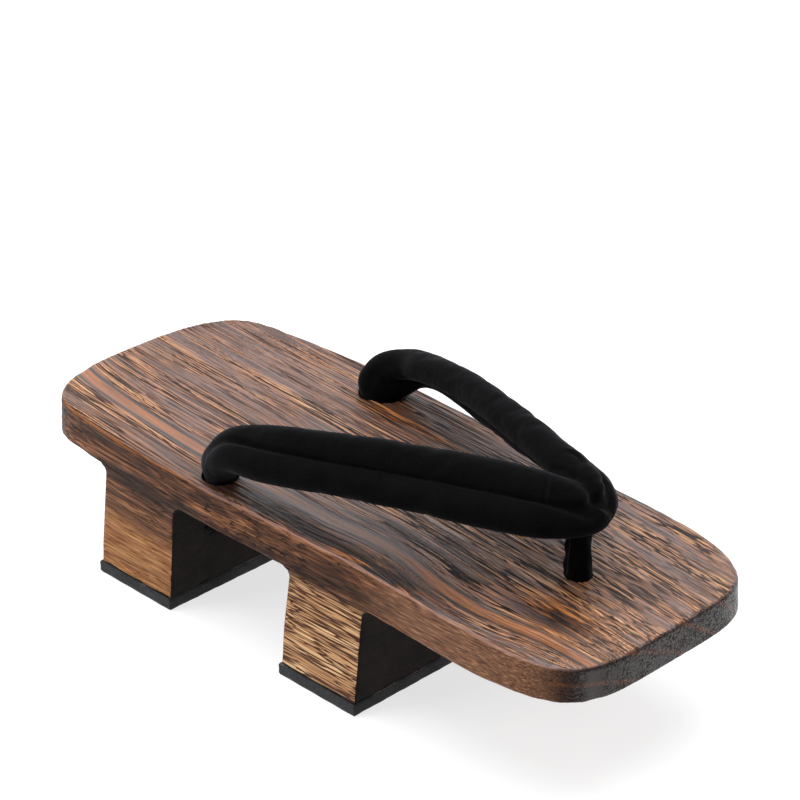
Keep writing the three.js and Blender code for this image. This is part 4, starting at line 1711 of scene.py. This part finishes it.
@dataclass
class Studio:
    """The white sweep, the soft lights and the camera."""

    camera_place: tuple[float, float, float] = (0.61527, -0.60724, 0.54242)
    camera_forward: tuple[float, float, float] = (-0.62553, 0.62684, -0.46453)
    roll_degrees: float = 0.28
    lens: float = 125.85
    sensor: float = 36.0
    floor_half: float = 6.0
    bright_side: tuple[float, float, float] = (-0.66, 0.55, 0.51)
    world_strength: float = 1.45
    dim_strength: float = 0.06
    lights: tuple[Softbox, ...] = (
        Softbox("overhead softbox", (-0.3, 0.0, 2.4), 2.8, 78.0),
        Softbox("left softbox", (-1.3, -2.0, 1.2), 1.4, 30.0),
    )

    def build(self) -> None:
        """Sets up the whole studio."""
        floor = mesh_object("floor", np.array([[x, y, 0.0] for x, y in (
            (-1, -1), (1, -1), (1, 1), (-1, 1))]) * self.floor_half / MM, [[0, 1, 2, 3]])
        floor.data.materials.append(LightTable().build())
        world = bpy.data.worlds.new("studio air")
        world.use_nodes = True
        air = world.node_tree
        way = add_node(air, "ShaderNodeTexCoord")
        facing = add_node(air, "ShaderNodeVectorMath",
                          {0: way.outputs["Generated"], 1: self.bright_side}, operation="DOT_PRODUCT")
        glow = add_node(air, "ShaderNodeMapRange",
                        {"Value": facing.outputs["Value"], "From Min": -0.3, "From Max": 0.9,
                         "To Min": self.dim_strength, "To Max": self.world_strength},
                        interpolation_type="SMOOTHSTEP")
        air.nodes["Background"].inputs["Color"].default_value = linear("fafbff")
        air.links.new(glow.outputs[0], air.nodes["Background"].inputs["Strength"])
        scene = bpy.context.scene
        scene.world = world
        for light in self.lights:
            light.build()
        scene.view_settings.view_transform = "Standard"
        self.aim_camera()

    def aim_camera(self) -> None:
        """Places the camera, turned so that its roll matches."""
        lens = bpy.data.cameras.new("camera")
        lens.lens, lens.sensor_width = self.lens, self.sensor
        lens.clip_end = 20.0
        forward = Vector(self.camera_forward).normalized()
        across = forward.cross(Vector((0, 0, 1))).normalized()
        upward = across.cross(forward)
        turn = math.radians(self.roll_degrees)
        right = across * math.cos(turn) + upward * math.sin(turn)
        up = upward * math.cos(turn) - across * math.sin(turn)
        made = bpy.data.objects.new("camera", lens)
        made.matrix_world = Matrix.Translation(self.camera_place) @ Matrix(
            (right, up, -forward)).transposed().to_4x4()
        bpy.context.scene.collection.objects.link(made)
        bpy.context.scene.camera = made


def main() -> None:
    """Builds the sandal piece by piece, and then the studio round it."""
    logging.basicConfig(level=logging.INFO, format="%(name)s: %(message)s")
    block, strap, thong = Block(), Strap(), Thong()
    velvet, rubber, cotton = Velvet().build(), GroundRubber().build(), TwistedCord().build()
    block.build([*strap.hole_bodies(STRAP_CLEARANCE, HOLE_BOTTOM),
                 thong.hole_body(THONG_CLEARANCE, HOLE_BOTTOM)])
    for pad in (GroundPad("rear_pad", -96.0, -56.6), GroundPad("front_pad", 2.0, 39.8)):
        pad.build(rubber)
    strap.build(velvet)
    thong.build(velvet)
    for knot in (Knot("rear_knot_right", *REAR_HOLE, 8.0, turn_degrees=20),
                 Knot("rear_knot_left", REAR_HOLE[0], -REAR_HOLE[1], 8.0, turn_degrees=145),
                 Knot("front_knot", thong.x, 0.0, 7.0, height=8.5, turn_degrees=70)):
        knot.build(cotton, float(block.under_at(knot.x)))
    Studio().build()


if __name__ == "__main__":
    main()
